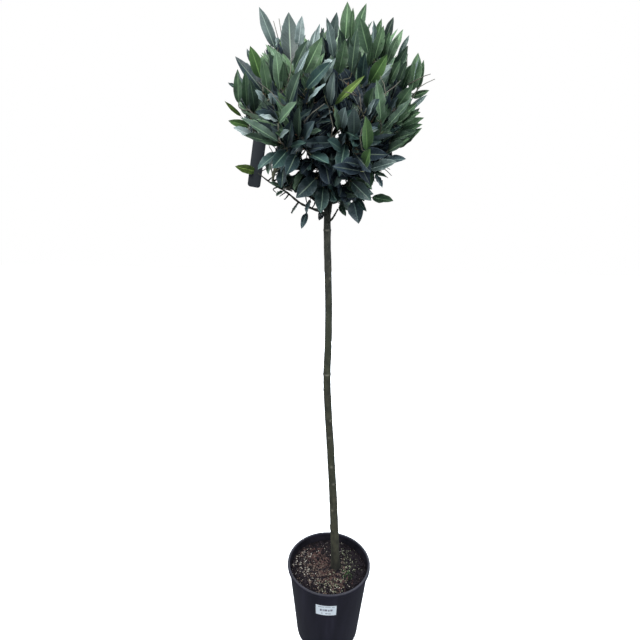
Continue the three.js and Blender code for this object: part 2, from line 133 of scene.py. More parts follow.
# The head: a ball of leaf tips round its centre, grown from a lower point on the stem, so that its leaves
# turn up
HEAD_CENTRE = np.array((-0.029, 0.0, 1.625))
GROWTH_POINT = np.array((-0.029, 0.0, 1.545))
SHOOTS = 96
LOW_CROWDING = 0.88
LOWEST_SHOOT = -0.96
SEED = 7
SHOOT_PULL = 0.1
UPRIGHT = 0.4
HANGING = -0.4
HANGING_BELOW = -0.85
UPRIGHT_RANGE = 0.75
LOW_LEAVES_BELOW = -0.45

# The masses of foliage: azimuth and elevation from the head's centre, reach, height of the bough's foot on
# the stem, distance of its tip from the growth point, and its tip's direction where it isn't the mass's own
MASSES = (
    ("top", 30, 82, 0.234, None, None, None),
    ("upper_right", 2, 45, 0.264, 1.576, 0.110, None),
    ("upper_back_right", 62, 44, 0.245, 1.562, 0.106, None),
    ("upper_back_left", 122, 46, 0.236, 1.592, 0.112, None),
    ("upper_left", 182, 50, 0.266, 1.569, 0.112, None),
    ("upper_front_left", 242, 46, 0.242, 1.584, 0.110, None),
    ("upper_front_right", 302, 44, 0.244, 1.555, 0.104, None),
    ("right", 355, 9, 0.252, 1.516, 0.070, None),
    ("back_right", 50, 0, 0.242, 1.495, 0.068, None),
    ("back_left", 115, 2, 0.240, 1.523, 0.070, None),
    ("left", 182, 15, 0.250, 1.502, 0.190, (186, 22)),
    ("front_left", 232, -2, 0.240, 1.530, 0.070, None),
    ("front_right", 292, -2, 0.242, 1.488, 0.068, None),
    ("low_right", 345, -32, 0.226, 1.446, 0.072, None),
    ("low_back", 78, -36, 0.228, 1.460, 0.070, None),
    ("low_left", 194, -32, 0.250, 1.398, 0.148, (188, -33)),
    ("low_front", 262, -38, 0.236, 1.430, 0.068, None),
    ("under", 306, -74, 0.258, 1.377, 0.092, None),
)
LEAF_NODES = ["leaves_" + mass[0] for mass in MASSES]
BOUGH_NODES = ["bough_" + mass[0] for mass in MASSES[1:]]

# Radius of the wood in the head
BOUGH_FOOT = 0.0042
BOUGH_TIP = 0.0029
TWIG_FOOT = 0.0025
TWIG_TIP = 0.0013
FINE_TWIG_FOOT = 0.0016
FINE_TWIG_TIP = 0.0009

# How the boughs bend: how far they spread at their foot, how far their tip turns to its mass, how long they
# hold each direction, and the short stem of the mass that each one ends in
FOOT_SPREAD = 0.8
TIP_LEAN = 0.6
BOUGH_BEND = 0.35
MASS_STEM_LENGTH = 0.026
MASS_STEM_SHORTEST = 0.012
MASS_STEM_ROOM = 0.024
SHORTEST_RISE = 0.010

# Leaves
LEAF_LENGTH = 0.106
LOW_LEAF_LENGTH = 0.080
LEAF_SLENDERNESS = 0.30
LOW_LEAF_SLENDERNESS = 0.43
LEAF_WIDEST = 0.46
LEAF_THICKNESS = 0.0006
LEAF_SHARE = 0.82
LEAF_SPACING = 0.013
TIP_TILT = 10
TILT_STEP = 9.5
PETIOLE = 0.007
PETIOLE_RADIUS = 0.0008
STEM_CLEARANCE = 0.004

# How a shoot and a finer side shoot grow: how many leaves, their spacing and step in tilt as shares of the
# usual ones, what chance adds to the tilt in degrees, a leaf's full length as a share of the usual one, its
# shortest length, the least share of it and what chance adds, and how long the twig holds its first way
Habit = namedtuple("Habit", "leaves spacing tilt_step tilt_chance full shortest least chance bend")
SHOOT_HABIT = Habit(7, 1.0, 1.0, 8, 1.0, 0.0, 0.8, 0.28, 0.3)
SIDE_HABIT = Habit(6, 0.9, 1.1, 10, 0.92, 0.05, 0.72, 0.3, 0.35)
TIP_BEND = 0.3
LOWEST_LEAF = 0.85

# Side shoots: how many grow on each shoot, how far each turns away from it, and how far its foot spreads
SIDE_SHOOTS = 3
SIDE_TURN = math.radians(15)
SIDE_SPREAD = 0.8
INNER_LEAVES = 4

# How leaves rise towards the light in the upper head: how strongly, from which level of the ball, and over
# what range of levels
RISE = 0.95
RISE_ABOVE = -0.40
RISE_RANGE = 0.45

# Where a leaf doesn't fit, it is tried again with a share of its tilt, a shift of its turn and a share of
# its length
TRIES = (
    (1, 0, 1), (1, 0.6, 1), (1, -0.6, 1), (0.7, 0, 1), (0.7, 1.1, 1), (0.7, -1.1, 1), (0.4, 0, 1),
    (0.4, 1.8, 1), (1, 0, 0.78), (1, 1.5, 0.78), (1, -1.5, 0.78), (0.6, 0, 0.78), (0.6, 2.4, 0.78),
    (0.3, 0, 0.78),
)

# The plain tag that hangs from the left bough
TAG_WIDTH = 0.032
TAG_LENGTH = 0.154
TAG_THICKNESS = 0.001
TAG_CORNER = 0.007
TAG_STRAP_WIDTH = 0.006
TAG_STRAP_LENGTH = 0.024
TAG_SHOULDER = 0.010
TAG_LEAN = math.radians(9)
TAG_FROM_TIP = 0.014
TAG_LOOP = BOUGH_TIP + 0.0006
TAG_BOW = 0.0012
TAG_COLUMNS = (-1.0, -0.94, -0.5, 0.0, 0.5, 0.94, 1.0)
# The tag's width in picture pixels, with a margin, where no leaf may hide it
TAG_SEEN_WIDTH = 17

# Base colours of the leaves, upper side first, then the paler underside
# The deep and ink tints are painted shade, and the teal and slate tints are dark greens with a painted blue
# sky sheen.
# The lit tint is painted light, and the haze, pale and silver tints are a painted sky sheen and highlight.
TINTS = {
    "bright": ((0.086, 0.168, 0.056), (0.122, 0.194, 0.090)),
    "light": ((0.121, 0.201, 0.112), (0.160, 0.226, 0.150)),
    "lit": ((0.190, 0.290, 0.180), (0.205, 0.300, 0.200)),
    "mid": ((0.078, 0.138, 0.079), (0.112, 0.164, 0.110)),
    "dark": ((0.046, 0.077, 0.055), (0.068, 0.100, 0.078)),
    "teal": ((0.031, 0.062, 0.058), (0.053, 0.083, 0.078)),
    "slate": ((0.047, 0.074, 0.084), (0.070, 0.098, 0.108)),
    "ink": ((0.017, 0.031, 0.034), (0.034, 0.051, 0.056)),
    "haze": ((0.121, 0.162, 0.154), (0.151, 0.192, 0.184)),
    "grey": ((0.046, 0.063, 0.058), (0.062, 0.082, 0.076)),
    "young": ((0.100, 0.160, 0.038), (0.125, 0.176, 0.056)),
    "pale": ((0.240, 0.310, 0.310), (0.250, 0.320, 0.320)),
    "silver_sheen": ((0.440, 0.530, 0.520), (0.440, 0.530, 0.520)),
    "deep_shade": ((0.016, 0.025, 0.034), (0.025, 0.036, 0.046)),
}
GLOSS = {"deep_shade": 0.12, "dark": 0.30, "ink": 0.18, "grey": 0.20, "teal": 0.34, "haze": 0.34}
LEAF_GLOSS = 0.50

# The proud leaves of the near side, as the viewer sees them in picture pixels: x and y of the tip, x and y
# of the root, width, tint, and how many millimetres the leaf lies below the head's surface
# Many of their tints are painted sheen, highlight, light and shade, as set out at the tints above.
SHOWN_LEAVES = (
    # Upper left
    (259, 7, 276, 51, 9.5, "haze", 0),
    (288.5, 12, 291, 66, 15.5, "grey", 0),
    (302.5, 16, 297.5, 52, 8.5, "silver_sheen", 10),
    (306.5, 40, 293, 72, 8, "dark", 5),
    (309, 49, 293, 82, 5, "pale", 6),
    (322.5, 37, 303, 76, 12, "light", 0),
    (251, 46, 261.5, 81, 11, "bright", 0),
    (247, 49, 253, 66, 4, "pale", 15),
    (235, 56, 266, 95, 9.5, "ink", 0),
    (237.5, 69, 238.5, 106, 8.5, "mid", 0),
    (245, 72, 247, 109, 9, "mid", 15),
    (251.5, 80, 255, 114, 9, "dark", 18),
    (262, 58, 269, 98, 9.5, "light", 5),
    (276, 49, 280, 93, 9.5, "lit", 0),
    (284, 61, 282, 90, 6.5, "light", 10),
    (299, 70, 288, 106, 9, "dark", 0),
    (270, 55, 275, 85, 6, "haze", 8),
    (330, 61.5, 305, 90, 10, "teal", 0),
    (331, 61, 321, 68, 5, "silver_sheen", -9),
    (324.5, 83.5, 306, 104, 2.5, "pale", 8),
    (296, 102.5, 278, 123.5, 8, "mid", 0),
    (257, 111, 279, 122, 8.5, "slate", 0),
    (260, 114.5, 279, 121, 3.5, "silver_sheen", -6),
    (257, 90, 265, 102, 5, "silver_sheen", -2),
    (270, 94, 272, 103, 2.5, "silver_sheen", 0),
    (276.5, 37, 278, 47, 3.5, "silver_sheen", 4),
    (288, 130, 279, 138, 4, "haze", -25),
    (228, 83, 240, 89, 3.5, "pale", 15),
    (225, 101.5, 243, 118, 4, "young", 0),
    (228.5, 121, 252, 127, 7.5, "bright", 0),
    (240, 118, 281, 143, 8, "dark", -40),
    (234, 127, 256, 138, 7, "silver_sheen", -45),
    (245, 134, 276, 144, 7, "dark", 10),
    (262, 140, 281, 146, 5, "mid", 0),
    (319.5, 24, 311, 60, 6, "silver_sheen", 5),
    (326.5, 18, 334.5, 62, 7.5, "haze", 14),
    (314, 31, 309, 62, 5, "silver_sheen", -2),
    (300, 106, 298, 138, 8, "dark", 5),
    (292, 121, 286, 149, 10, "ink", 6),
    (313, 121, 303, 141, 8, "slate", 0),
    (320, 129, 305, 135, 5, "dark", 0),
    (282, 128, 296, 140, 6, "teal", 8),
    (312, 108, 296, 122, 5, "ink", 12),
    (305, 141, 290, 147, 6, "teal", 6),
    (322, 147, 306, 150, 6, "deep_shade", 10),
    # Upper right
    (348.4, 2.5, 345, 43, 11, "light", 0),
    (352.6, 7.5, 351, 42, 5, "light", 15),
    (365.7, 3.5, 351.5, 48, 9, "mid", 3),
    (360, 17, 369, 56, 11.5, "mid", 0),
    (336.7, 12.5, 332, 46, 8, "haze", 10),
    (329, 19.5, 333, 46, 4, "haze", 18),
    (341, 30, 343, 62, 8, "dark", 22),
    (350, 36, 347, 70, 9, "dark", 22),
    (374.5, 20.5, 373.5, 47, 3.5, "pale", 15),
    (381.8, 19, 374, 50, 7, "light", 10),
    (383, 26, 374, 62, 9.5, "light", 5),
    (392.8, 17.3, 384, 45, 7, "grey", 8),
    (389, 32, 381, 61, 8, "mid", 5),
    (402.3, 29.7, 389, 60, 7, "lit", -2),
    (397, 37, 386, 66, 8, "lit", 2),
    (409, 35.5, 396, 63, 5, "haze", 8),
    (407.5, 47, 392, 73, 8, "dark", 5),
    (400, 60, 388, 85, 8, "mid", 5),
    (406, 62, 397, 87, 7, "dark", 8),
    (418.8, 53, 411, 94, 12, "light", 0),
    (419.5, 56, 410.5, 90, 2, "pale", -4),
    (411.5, 64, 401, 93, 8, "mid", 4),
    (423.6, 60, 417, 93, 6, "mid", 10),
    (429, 90.6, 409, 98, 6, "mid", 0),
    (427, 95, 405, 113, 5, "pale", 6),
    (363.7, 75.5, 333, 106.5, 6, "young", 0),
    (334, 106, 338.5, 132, 5, "lit", 0),
    (386.5, 56, 369, 85, 12, "bright", 0),
    (346, 41, 338, 76, 11, "light", 0),
    (356, 29, 351, 76, 9.5, "dark", 6),
    (365, 54, 361, 87, 10, "teal", 5),
    (372, 42, 368, 71, 6, "light", 10),
    (378.5, 80, 381, 122, 8.5, "light", 0),
    (372, 88, 367, 111, 8.5, "mid", 5),
    (411, 88, 395, 110, 12, "mid", 0),
    (412, 98, 381, 134, 7, "dark", 0),
    (398, 96, 388, 113, 5, "slate", 6),
    (333, 74, 330, 107, 7.5, "haze", 0),
    (344, 108, 341, 129, 10, "pale", 0),
    (354, 109, 354, 136, 12.5, "haze", 0),
    (331, 112, 320, 118, 4, "slate", 15),
    (330, 120, 318, 123, 4, "ink", 20),
    (326, 106, 316, 110, 3.5, "ink", 20),
    (377, 98, 366, 121, 7, "slate", 3),
    (375, 99, 367, 119, 3, "pale", -3),
    # Lower right
    (367, 117.7, 367, 152, 10.5, "bright", 0),
    (369, 150, 365, 167, 8.5, "bright", 0),
    (419, 112, 394, 124, 9, "mid", 0),
    (417, 131, 392, 142, 8, "dark", 4),
    (410, 138, 388, 150, 8, "mid", 6),
    (403, 141, 386, 153, 7, "dark", 3),
    (416, 104, 396, 124, 8, "mid", 10),
    (424, 118, 398, 131, 7, "mid", 5),
    (421, 124, 396, 137, 8, "mid", 3),
    (422, 128.5, 397, 149, 7, "mid", 0),
    (412, 133, 389, 141, 8, "dark", 5),
    (405.8, 159.5, 380, 161, 7.5, "slate", 0),
    (396, 161.5, 367, 170, 9, "haze", 0),
    (333, 166, 363, 171.5, 10, "deep_shade", 8),
    (344, 160, 362, 166, 7, "deep_shade", 10),
    (329, 139, 343, 151, 8, "teal", 0),
    (371, 201, 350, 180, 13, "teal", 0),
    (393.2, 201.5, 370, 197, 9, "mid", 0),
    (358.7, 223, 353, 199, 15, "slate", 0),
    (366.5, 211, 355, 197, 6, "teal", 8),
    (345.7, 216.3, 339, 203, 6, "dark", 8),
    (382, 187, 375, 173, 5, "slate", 5),
    (387, 177.3, 371, 171, 4, "dark", 15),
    # Lower left
    (235.8, 167, 258.5, 172, 8.4, "young", -60),
    (257, 168.5, 281, 150, 7, "teal", -10),
    (268, 174, 270.5, 154, 6, "dark", 5),
    (272, 168, 288, 150, 14, "teal", 0),
    (287.5, 174, 297, 152, 13.5, "ink", 3),
    (281, 188, 284, 165, 10, "ink", 8),
    (297, 198, 317, 177, 16, "ink", 0),
    (320.7, 213, 323.5, 185, 14, "teal", 0),
    (329, 163.5, 310, 154, 9, "teal", 0),
    (301, 228, 307.5, 211, 6.5, "slate", 0),
    (306, 212, 310.5, 198, 4, "slate", 0),
    (270, 181.5, 285, 189, 4.5, "dark", -5),
    (291, 213, 298.5, 203, 2.5, "dark", -5),
    (277, 196, 284.5, 190, 3, "dark", -5),
    (319, 220, 323, 210, 6, "deep_shade", 0),
)

# Leaves narrower than this many pixels are seen edge on
NARROW = 7

# Bare twig ends that stand out of the head, from the pixel where each one leaves the leaves to its tip
BARE_ENDS = (
    (419, 79, 430.6, 74),
    (418, 88, 435, 79),
    (383, 168, 391.6, 175.8),
    (382, 166, 390, 169.5),
    (281, 50, 273.5, 21),
    (283, 46, 279, 18.5),
    (407, 66, 407, 46),
    (381, 173, 388, 178),
)

# The bare limb low on the left, from the stem outwards, its short forks, and a thin one on the right, in
# picture pixels
BARE_LIMB = (
    (325, 216), (317.5, 210.5), (308, 207), (299.3, 203), (286.3, 191.5), (276, 186), (267.9, 181),
    (258, 173),
)
THIN_LIMB = ((328, 224), (331.5, 220), (335, 214.5), (338, 209))
BARE_FORKS = (
    ((267.9, 181), (273, 176.5), (279, 172.7)),
    ((298, 202.5), (294, 208), (291, 213)),
    ((286.5, 191.6), (283, 194), (279.5, 196.5)),
    ((306, 206), (307, 209), (306.8, 213)),
    ((278, 187), (272, 189), (276, 192.5)),
    ((289, 194), (285, 199.5), (284, 199)),
)

# Light twigs that show between the near leaves, in picture pixels, and how far they lie under the surface
SHOWN_TWIGS = (
    ((282, 105), (271, 92), (258, 82)),
    ((288, 82), (290.5, 72), (291.5, 58)),
    ((304, 122), (312, 113), (325, 103.5)),
    ((361, 108), (360, 95), (357, 87)),
    ((357, 96), (350, 93), (345, 92)),
    ((387, 92), (394, 87), (401, 80)),
    ((386, 96), (384, 84), (380, 76)),
    ((331, 138), (333, 126), (329, 110)),
    ((362, 150), (360, 138), (362, 128)),
)
TWIG_SUNK = 0.012

# Where the bare limbs and twig ends lie along Y
LIMB_DEPTH = -0.03
TWIG_END_DEPTH = -0.02

# Where the sky shows through the head, in picture pixels, with each hole's radius, and the margin kept free
SKY_GAPS = (
    (304, 155, 2.6), (293, 173, 2.6), (316, 171, 2.2), (344, 181, 2.4), (337, 133, 2.6),
    (349, 147, 2.2), (333, 210, 5.0), (273, 145, 4.0), (272, 177, 5.5), (293, 196, 3.0),
    (312, 203, 3.0), (378, 178, 3.0), (262, 163, 4.0), (269, 186, 7.0), (283, 205, 9.0),
    (296, 212, 6.0), (262, 176, 6.0), (378, 190, 3.0), (325, 214, 3.0), (274, 166, 2.5),
)
SKY_MARGIN = 2.0

# Dark openings between the near sprays, in picture pixels, with each one's radius, how deep they are, and
# how far round them the leaves take darker tints as painted shade
HOLLOWS = (
    (327, 53, 5), (346, 82, 8), (358, 92, 8), (352, 101, 9), (329, 84, 4), (318, 101, 8), (324, 128, 6),
    (302, 98, 4), (384, 148, 6), (348, 188, 6), (392, 92, 4), (364, 108, 5), (300, 130, 5),
    (312, 118, 6),
)
HOLLOW_DEPTH = 0.085
HOLLOW_EDGE = 4.0

# The dim heart of the near side low down, where the leaves take darker tints as painted shade: its middle
# and half its width and height, in pixels, and the darker tint that each tint turns to in it
DIM_HEART = (333, 150, 38, 46)
DIM_TINTS = {"bright": "dark", "light": "slate", "mid": "teal", "haze": "slate", "dark": "deep_shade"}

# The ball that the near leaves' tips lie on, and the share of it that hollows and twigs are measured from
BALL = 0.245
NEAR_SURFACE = 0.92

# The outline of the head's closed mass in picture pixels, clockwise from low on the left, without the tips
OUTLINE = (
    (300, 196), (290, 188), (282, 186), (274, 176), (268, 166), (272, 156), (276, 147), (262, 142),
    (247, 139), (234, 130), (228, 122), (240, 116), (230, 107), (234, 100), (233, 88), (233, 72),
    (238, 62), (247, 52), (255, 57), (262, 52), (266, 44), (272, 36), (281, 34), (284, 24), (296, 24),
    (299, 30), (306, 34), (314, 36), (320, 28), (328, 24), (337, 22), (343, 16), (350, 16), (358, 14),
    (366, 14), (374, 24), (384, 24), (392, 24), (398, 32), (405, 38), (408, 48), (406, 60), (412, 62),
    (419, 60), (423, 72), (421, 84), (425, 92), (424, 104), (421, 114), (421, 124), (418, 131),
    (408, 140), (399, 148), (392, 153), (398, 160), (392, 166), (381, 171), (380, 182), (377, 192),
    (370, 199), (368, 210), (362, 219), (355, 219), (347, 211), (338, 202), (330, 206), (322, 206),
    (312, 200),
)


# Vectors, curves and tubes


def unit(vector):
    return vector / np.linalg.norm(vector)


def clamp(value, low, high):
    return max(low, min(high, value))


def direction(azimuth, elevation):
    a, e = math.radians(azimuth), math.radians(elevation)
    return np.array((math.cos(a) * math.cos(e), math.sin(a) * math.cos(e), math.sin(e)))


def turned_about(vector, axis, angle):
    """The vector turned round a unit axis."""
    straight = axis * np.dot(axis, vector)
    return straight + (vector - straight) * math.cos(angle) + np.cross(axis, vector) * math.sin(angle)


def seeded(seed):
    """Random numbers from 0 to 1, by the same rule and seed as the tree's solids."""
    state = seed

    def draw():
        nonlocal state
        state = (state * 1664525 + 1013904223) % 2**32
        return state / 2**32

    return draw


class Curve:
    """A cubic Bezier curve, measured by its length."""

    def __init__(self, start, leave, arrive, end, steps=28):
        t = np.linspace(0, 1, steps + 1)[:, None]
        s = 1 - t
        self.places = s**3 * start + 3 * s**2 * t * leave + 3 * s * t**2 * arrive + t**3 * end
        gaps = np.linalg.norm(np.diff(self.places, axis=0), axis=1)
        self.run = np.concatenate(((0.0,), np.cumsum(gaps)))
        self.length = self.run[-1]

    def point(self, share):
        at = share * self.length
        return np.array([np.interp(at, self.run, self.places[:, i]) for i in range(3)])

    def points(self, shares):
        return np.array([self.point(share) for share in shares])

    def tangent(self, share):
        return unit(self.point(min(1, share + 0.02)) - self.point(max(0, share - 0.02)))


def stem_at(z):
    """Middle and radius of the stem at a height, on a smooth curve through its stations."""
    z = clamp(z, STEM[0, 0], STEM[-1, 0])
    i = int(clamp(np.searchsorted(STEM[:, 0], z) - 1, 0, len(STEM) - 2))
    span = STEM[i + 1, 0] - STEM[i, 0]
    t = (z - STEM[i, 0]) / span
    slopes = []
    for k in (i, i + 1):
        before, after = max(k - 1, 0), min(k + 1, len(STEM) - 1)
        slopes.append((STEM[after, 1:] - STEM[before, 1:]) / (STEM[after, 0] - STEM[before, 0]) * span)
    row = ((2 * t**3 - 3 * t**2 + 1) * STEM[i, 1:] + (t**3 - 2 * t**2 + t) * slopes[0]
           + (3 * t**2 - 2 * t**3) * STEM[i + 1, 1:] + (t**3 - t**2) * slopes[1])
    return np.array((row[0], row[1], z)), row[2]


class Shell:
    """Vertices and faces that are gathered into one mesh."""

    def __init__(self):
        self.places = []
        self.faces = []
        self.kinds = []
        self.count = 0

    def add(self, places, faces, kinds=0):
        self.places.append(np.asarray(places, float))
        if isinstance(faces, np.ndarray):
            self.faces.extend((faces + self.count).tolist())
        else:
            self.faces.extend([v + self.count for v in face] for face in faces)
        self.kinds.append(np.broadcast_to(np.asarray(kinds, np.int32), (len(faces),)))
        self.count += len(places)

    def piece(self, name, materials, smooth=True):
        mesh = bpy.data.meshes.new(name)
        mesh.from_pydata(np.concatenate(self.places).tolist(), [], self.faces)
        for material in materials:
            mesh.materials.append(material)
        mesh.polygons.foreach_set("material_index", np.concatenate(self.kinds).astype(np.int32))
        mesh.polygons.foreach_set("use_smooth", np.full(len(mesh.polygons), smooth))
        mesh.update()
        made = bpy.data.objects.new(name, mesh)
        bpy.context.scene.collection.objects.link(made)
        return made


def across_frames(points):
    """Two unit vectors across a line at each of its points, with no needless twist."""
    along = np.gradient(points, axis=0)
    along /= np.linalg.norm(along, axis=1)[:, None]
    first = np.cross(along[0], UP if abs(along[0][2]) < 0.9 else np.array((1.0, 0.0, 0.0)))
    sides = [unit(first)]
    for way in along[1:]:
        sides.append(unit(sides[-1] - way * np.dot(sides[-1], way)))
    sides = np.array(sides)
    return sides, np.cross(along, sides)


def tube_faces(rings, sides):
    """Quads between rings of points, then a fan at each end round two more points."""
    faces = []
    for i in range(rings - 1):
        for j in range(sides):
            k = (j + 1) % sides
            faces.append((i * sides + j, i * sides + k, (i + 1) * sides + k, (i + 1) * sides + j))
    start, end = rings * sides, rings * sides + 1
    last = (rings - 1) * sides
    for j in range(sides):
        k = (j + 1) % sides
        faces.append((start, k, j))
        faces.append((end, last + j, last + k))
    return faces


TUBE_FACES = {}


def add_tube(shell, points, radii, sides, kind=0):
    """A closed tube along a line of points, which may have a radius for every corner of every ring."""
    points = np.asarray(points, float)
    radii = np.asarray(radii, float)
    radii = np.broadcast_to(radii.reshape(len(points), -1), (len(points), sides))
    first, second = across_frames(points)
    angles = np.arange(sides) / sides * TURN
    ring = first[:, None] * np.cos(angles)[:, None] + second[:, None] * np.sin(angles)[:, None]
    places = points[:, None, :] + ring * radii[:, :, None]
    places = np.concatenate((places.reshape(-1, 3), points[:1], points[-1:]))
    key = (len(points), sides)
    if key not in TUBE_FACES:
        TUBE_FACES[key] = tube_faces(*key)
    shell.add(places, TUBE_FACES[key], kind)


# Picture pixels


def ray_through(x, y):
    """The direction seen at a pixel."""
    return AHEAD + RIGHT * ((x - IMAGE / 2) / FOCAL_PIXELS) - UPWARD * ((y - IMAGE / 2) / FOCAL_PIXELS)


def place_at(x, y, depth):
    """The place seen at a pixel that has this y."""
    ray = ray_through(x, y)
    return CAMERA_PLACE + ray * ((depth - CAMERA_PLACE[1]) / ray[1])


def place_at_height(x, y, height):
    """The place seen at a pixel that has this height."""
    ray = ray_through(x, y)
    return CAMERA_PLACE + ray * ((height - CAMERA_PLACE[2]) / ray[2])


def pixels_of(places):
    """The pixels at which places are seen."""
    away = np.atleast_2d(places) - CAMERA_PLACE
    ahead = away @ AHEAD
    return np.stack((IMAGE / 2 + FOCAL_PIXELS * (away @ RIGHT) / ahead,
                     IMAGE / 2 - FOCAL_PIXELS * (away @ UPWARD) / ahead), axis=1)


# Growth


def place_mass(row):
    """A mass's direction and reach, and the bough that carries it."""
    name, azimuth, elevation, reach, fork, start, door = row
    middle = direction(azimuth, elevation)
    span = HEAD_CENTRE + middle * reach - GROWTH_POINT
    axis = unit(span)
    mass = {"name": name, "middle": middle, "axis": axis, "reach": reach, "bough": None}
    if fork is None:
        mass.update(begin=STEM[-1, [1, 2, 0]], heading=UP, stem=MASS_STEM_LENGTH)
        return mass
    foot = stem_at(fork)[0]
    begin = GROWTH_POINT + (direction(*door) if door else axis) * start
    heading = unit(unit(begin - foot) + TIP_LEAN * axis)
    room = np.linalg.norm(span) - LEAF_SHARE * LEAF_LENGTH - start - MASS_STEM_ROOM
    mass.update(begin=begin, heading=heading, stem=clamp(room, MASS_STEM_SHORTEST, MASS_STEM_LENGTH))
    outward = unit(unit(np.array((axis[0], axis[1], 0.0))) * FOOT_SPREAD + UP)
    length = np.linalg.norm(begin - foot)
    leave = foot + outward * length * BOUGH_BEND
    mass["bough"] = Curve(foot, leave, begin - heading * length * BOUGH_BEND, begin)
    return mass


masses = [place_mass(row) for row in MASSES]


def way_to(place, reach):
    return unit(HEAD_CENTRE + place * reach - GROWTH_POINT)


def shoot_places(mass):
    """Places on the ball, spread evenly, for which this mass is the nearest."""
    found = []
    for k in range(SHOOTS):
        z = 1 - 2 * ((k + 0.5) / SHOOTS) ** LOW_CROWDING
        level = math.sqrt(1 - z * z)
        place = np.array((level * math.cos(k * GOLDEN_ANGLE), level * math.sin(k * GOLDEN_ANGLE), z))
        way = way_to(place, mass["reach"])
        nearest = max(masses, key=lambda other: np.dot(other["axis"], way))
        if z > LOWEST_SHOOT and nearest is mass:
            found.append(unit(place + (mass["middle"] - place) * SHOOT_PULL))
    return found


def uprightness(level):
    """How strongly leaves turn up towards the light, by level in the ball. The lowest ones hang."""
    share = (level - HANGING_BELOW) / UPRIGHT_RANGE
    return clamp(HANGING + (UPRIGHT - HANGING) * share, HANGING, UPRIGHT)


def make_shoot(mass, place, reach, foot, leave, habit, draw):
    """A curved twig from its foot to a place under the head's surface, and where its leaves are."""
    low = place[2] < LOW_LEAVES_BELOW
    full_length = LOW_LEAF_LENGTH if low else LEAF_LENGTH * habit.full
    way = way_to(place, reach)
    surface = np.dot(HEAD_CENTRE + place * reach - GROWTH_POINT, way)
    least = np.dot(foot - GROWTH_POINT, way) + SHORTEST_RISE
    tip_distance = max(least, surface - LEAF_SHARE * full_length)
    leaf_length = clamp((surface - tip_distance) / LEAF_SHARE, habit.shortest, full_length)
    tip = GROWTH_POINT + way * tip_distance
    upright = uprightness(place[2])
    end = unit(way + UP * upright)
    span = np.linalg.norm(tip - foot)
    curve = Curve(foot, foot + leave * span * habit.bend, tip - end * span * TIP_BEND, tip)
    turn = draw() * TURN
    leaves = [{
        "t": 1 - min(LOWEST_LEAF, k * LEAF_SPACING * habit.spacing / span),
        "turn": turn + k * GOLDEN_ANGLE,
        "tilt": math.radians(TIP_TILT + k * TILT_STEP * habit.tilt_step + habit.tilt_chance * draw()),
        "length": leaf_length * (habit.least + habit.chance * draw()),
    } for k in range(habit.leaves)]
    return {"curve": curve, "leaves": leaves, "place": place, "way": way, "reach": reach, "upright": upright,
            "low": low, "mass": mass, "last": 0}


def grow_shoot(mass, place, draw):
    """A shoot from the mass's own stem to a place under the head's surface."""
    foot = mass["begin"] + mass["heading"] * mass["stem"] * (0.5 + 0.4 * draw())
    reach = mass["reach"] * (0.94 + 0.08 * draw())
    leave = unit(mass["heading"] + way_to(place, reach) * (0.5 + 0.5 * draw()))
    shoot = make_shoot(mass, place, reach, foot, leave, SHOOT_HABIT, draw)
    shoot["foot_radius"] = TWIG_FOOT * (0.85 + 0.25 * draw())
    return shoot


def side_shoot(shoot, k, draw):
    """A finer twig that leaves a shoot part of the way up and ends under the same surface."""
    way = shoot["way"]
    leave_at = 0.3 + 0.5 * (k + draw()) / SIDE_SHOOTS
    across = unit(np.cross(way, UP + np.array((0.01, 0.0, 0.0))))
    around = turned_about(across, way, draw() * TURN / SIDE_SHOOTS + k * TURN / SIDE_SHOOTS)
    place = unit(shoot["place"] + around * math.tan(SIDE_TURN * (0.6 + 0.8 * draw())))
    reach = shoot["reach"] * (0.88 + 0.10 * draw())
    leave = unit(shoot["curve"].tangent(leave_at) + around * SIDE_SPREAD)
    foot = shoot["curve"].point(leave_at)
    side = make_shoot(shoot["mass"], place, reach, foot, leave, SIDE_HABIT, draw)
    side.update(foot_radius=FINE_TWIG_FOOT, parent=shoot, leave_at=leave_at)
    return side


def inner_leaves(shoot, draw):
    """Older leaves lower down on a shoot, inside the head."""
    turn = draw() * TURN
    full_length = LOW_LEAF_LENGTH if shoot["low"] else LEAF_LENGTH * 0.85
    return [{
        "t": 0.12 + 0.10 * n + 0.05 * draw(),
        "turn": turn + n * GOLDEN_ANGLE,
        "tilt": math.radians(48 + 25 * draw()),
        "length": full_length * (0.7 + 0.25 * draw()),
    } for n in range(INNER_LEAVES)]


def place_leaf(shoot, leaf, attempt):
    """A leaf's place on its twig and the way it points, at one of the tries."""
    share, shift, size = attempt
    axis = shoot["curve"].tangent(leaf["t"])
    across = unit(np.cross(axis, UP + np.array((0.003, 0.002, 0.0))))
    around = np.cross(axis, across)
    turn = leaf["turn"] + shift
    outward = across * math.cos(turn) + around * math.sin(turn)
    tilt = leaf["tilt"] * share
    along = axis * math.cos(tilt) + outward * math.sin(tilt)
    rise = RISE * clamp((shoot["place"][2] - RISE_ABOVE) / RISE_RANGE, 0, 1)
    lift = shoot["upright"] * 0.6 * (1 + outward[2]) / 2 + rise * (0.4 + leaf["tilt"])
    along = unit(along + UP * lift)
    face = axis * math.sin(tilt) - outward * math.cos(tilt)
    face = unit(face - along * np.dot(face, along))
    root = shoot["curve"].point(leaf["t"])
    length = leaf["length"] * size
    slenderness = LOW_LEAF_SLENDERNESS if shoot["low"] else LEAF_SLENDERNESS
    return {"root": root, "base": root + along * PETIOLE, "along": along, "face": face,
            "length": length - PETIOLE, "width": length * slenderness}


# Room for leaves


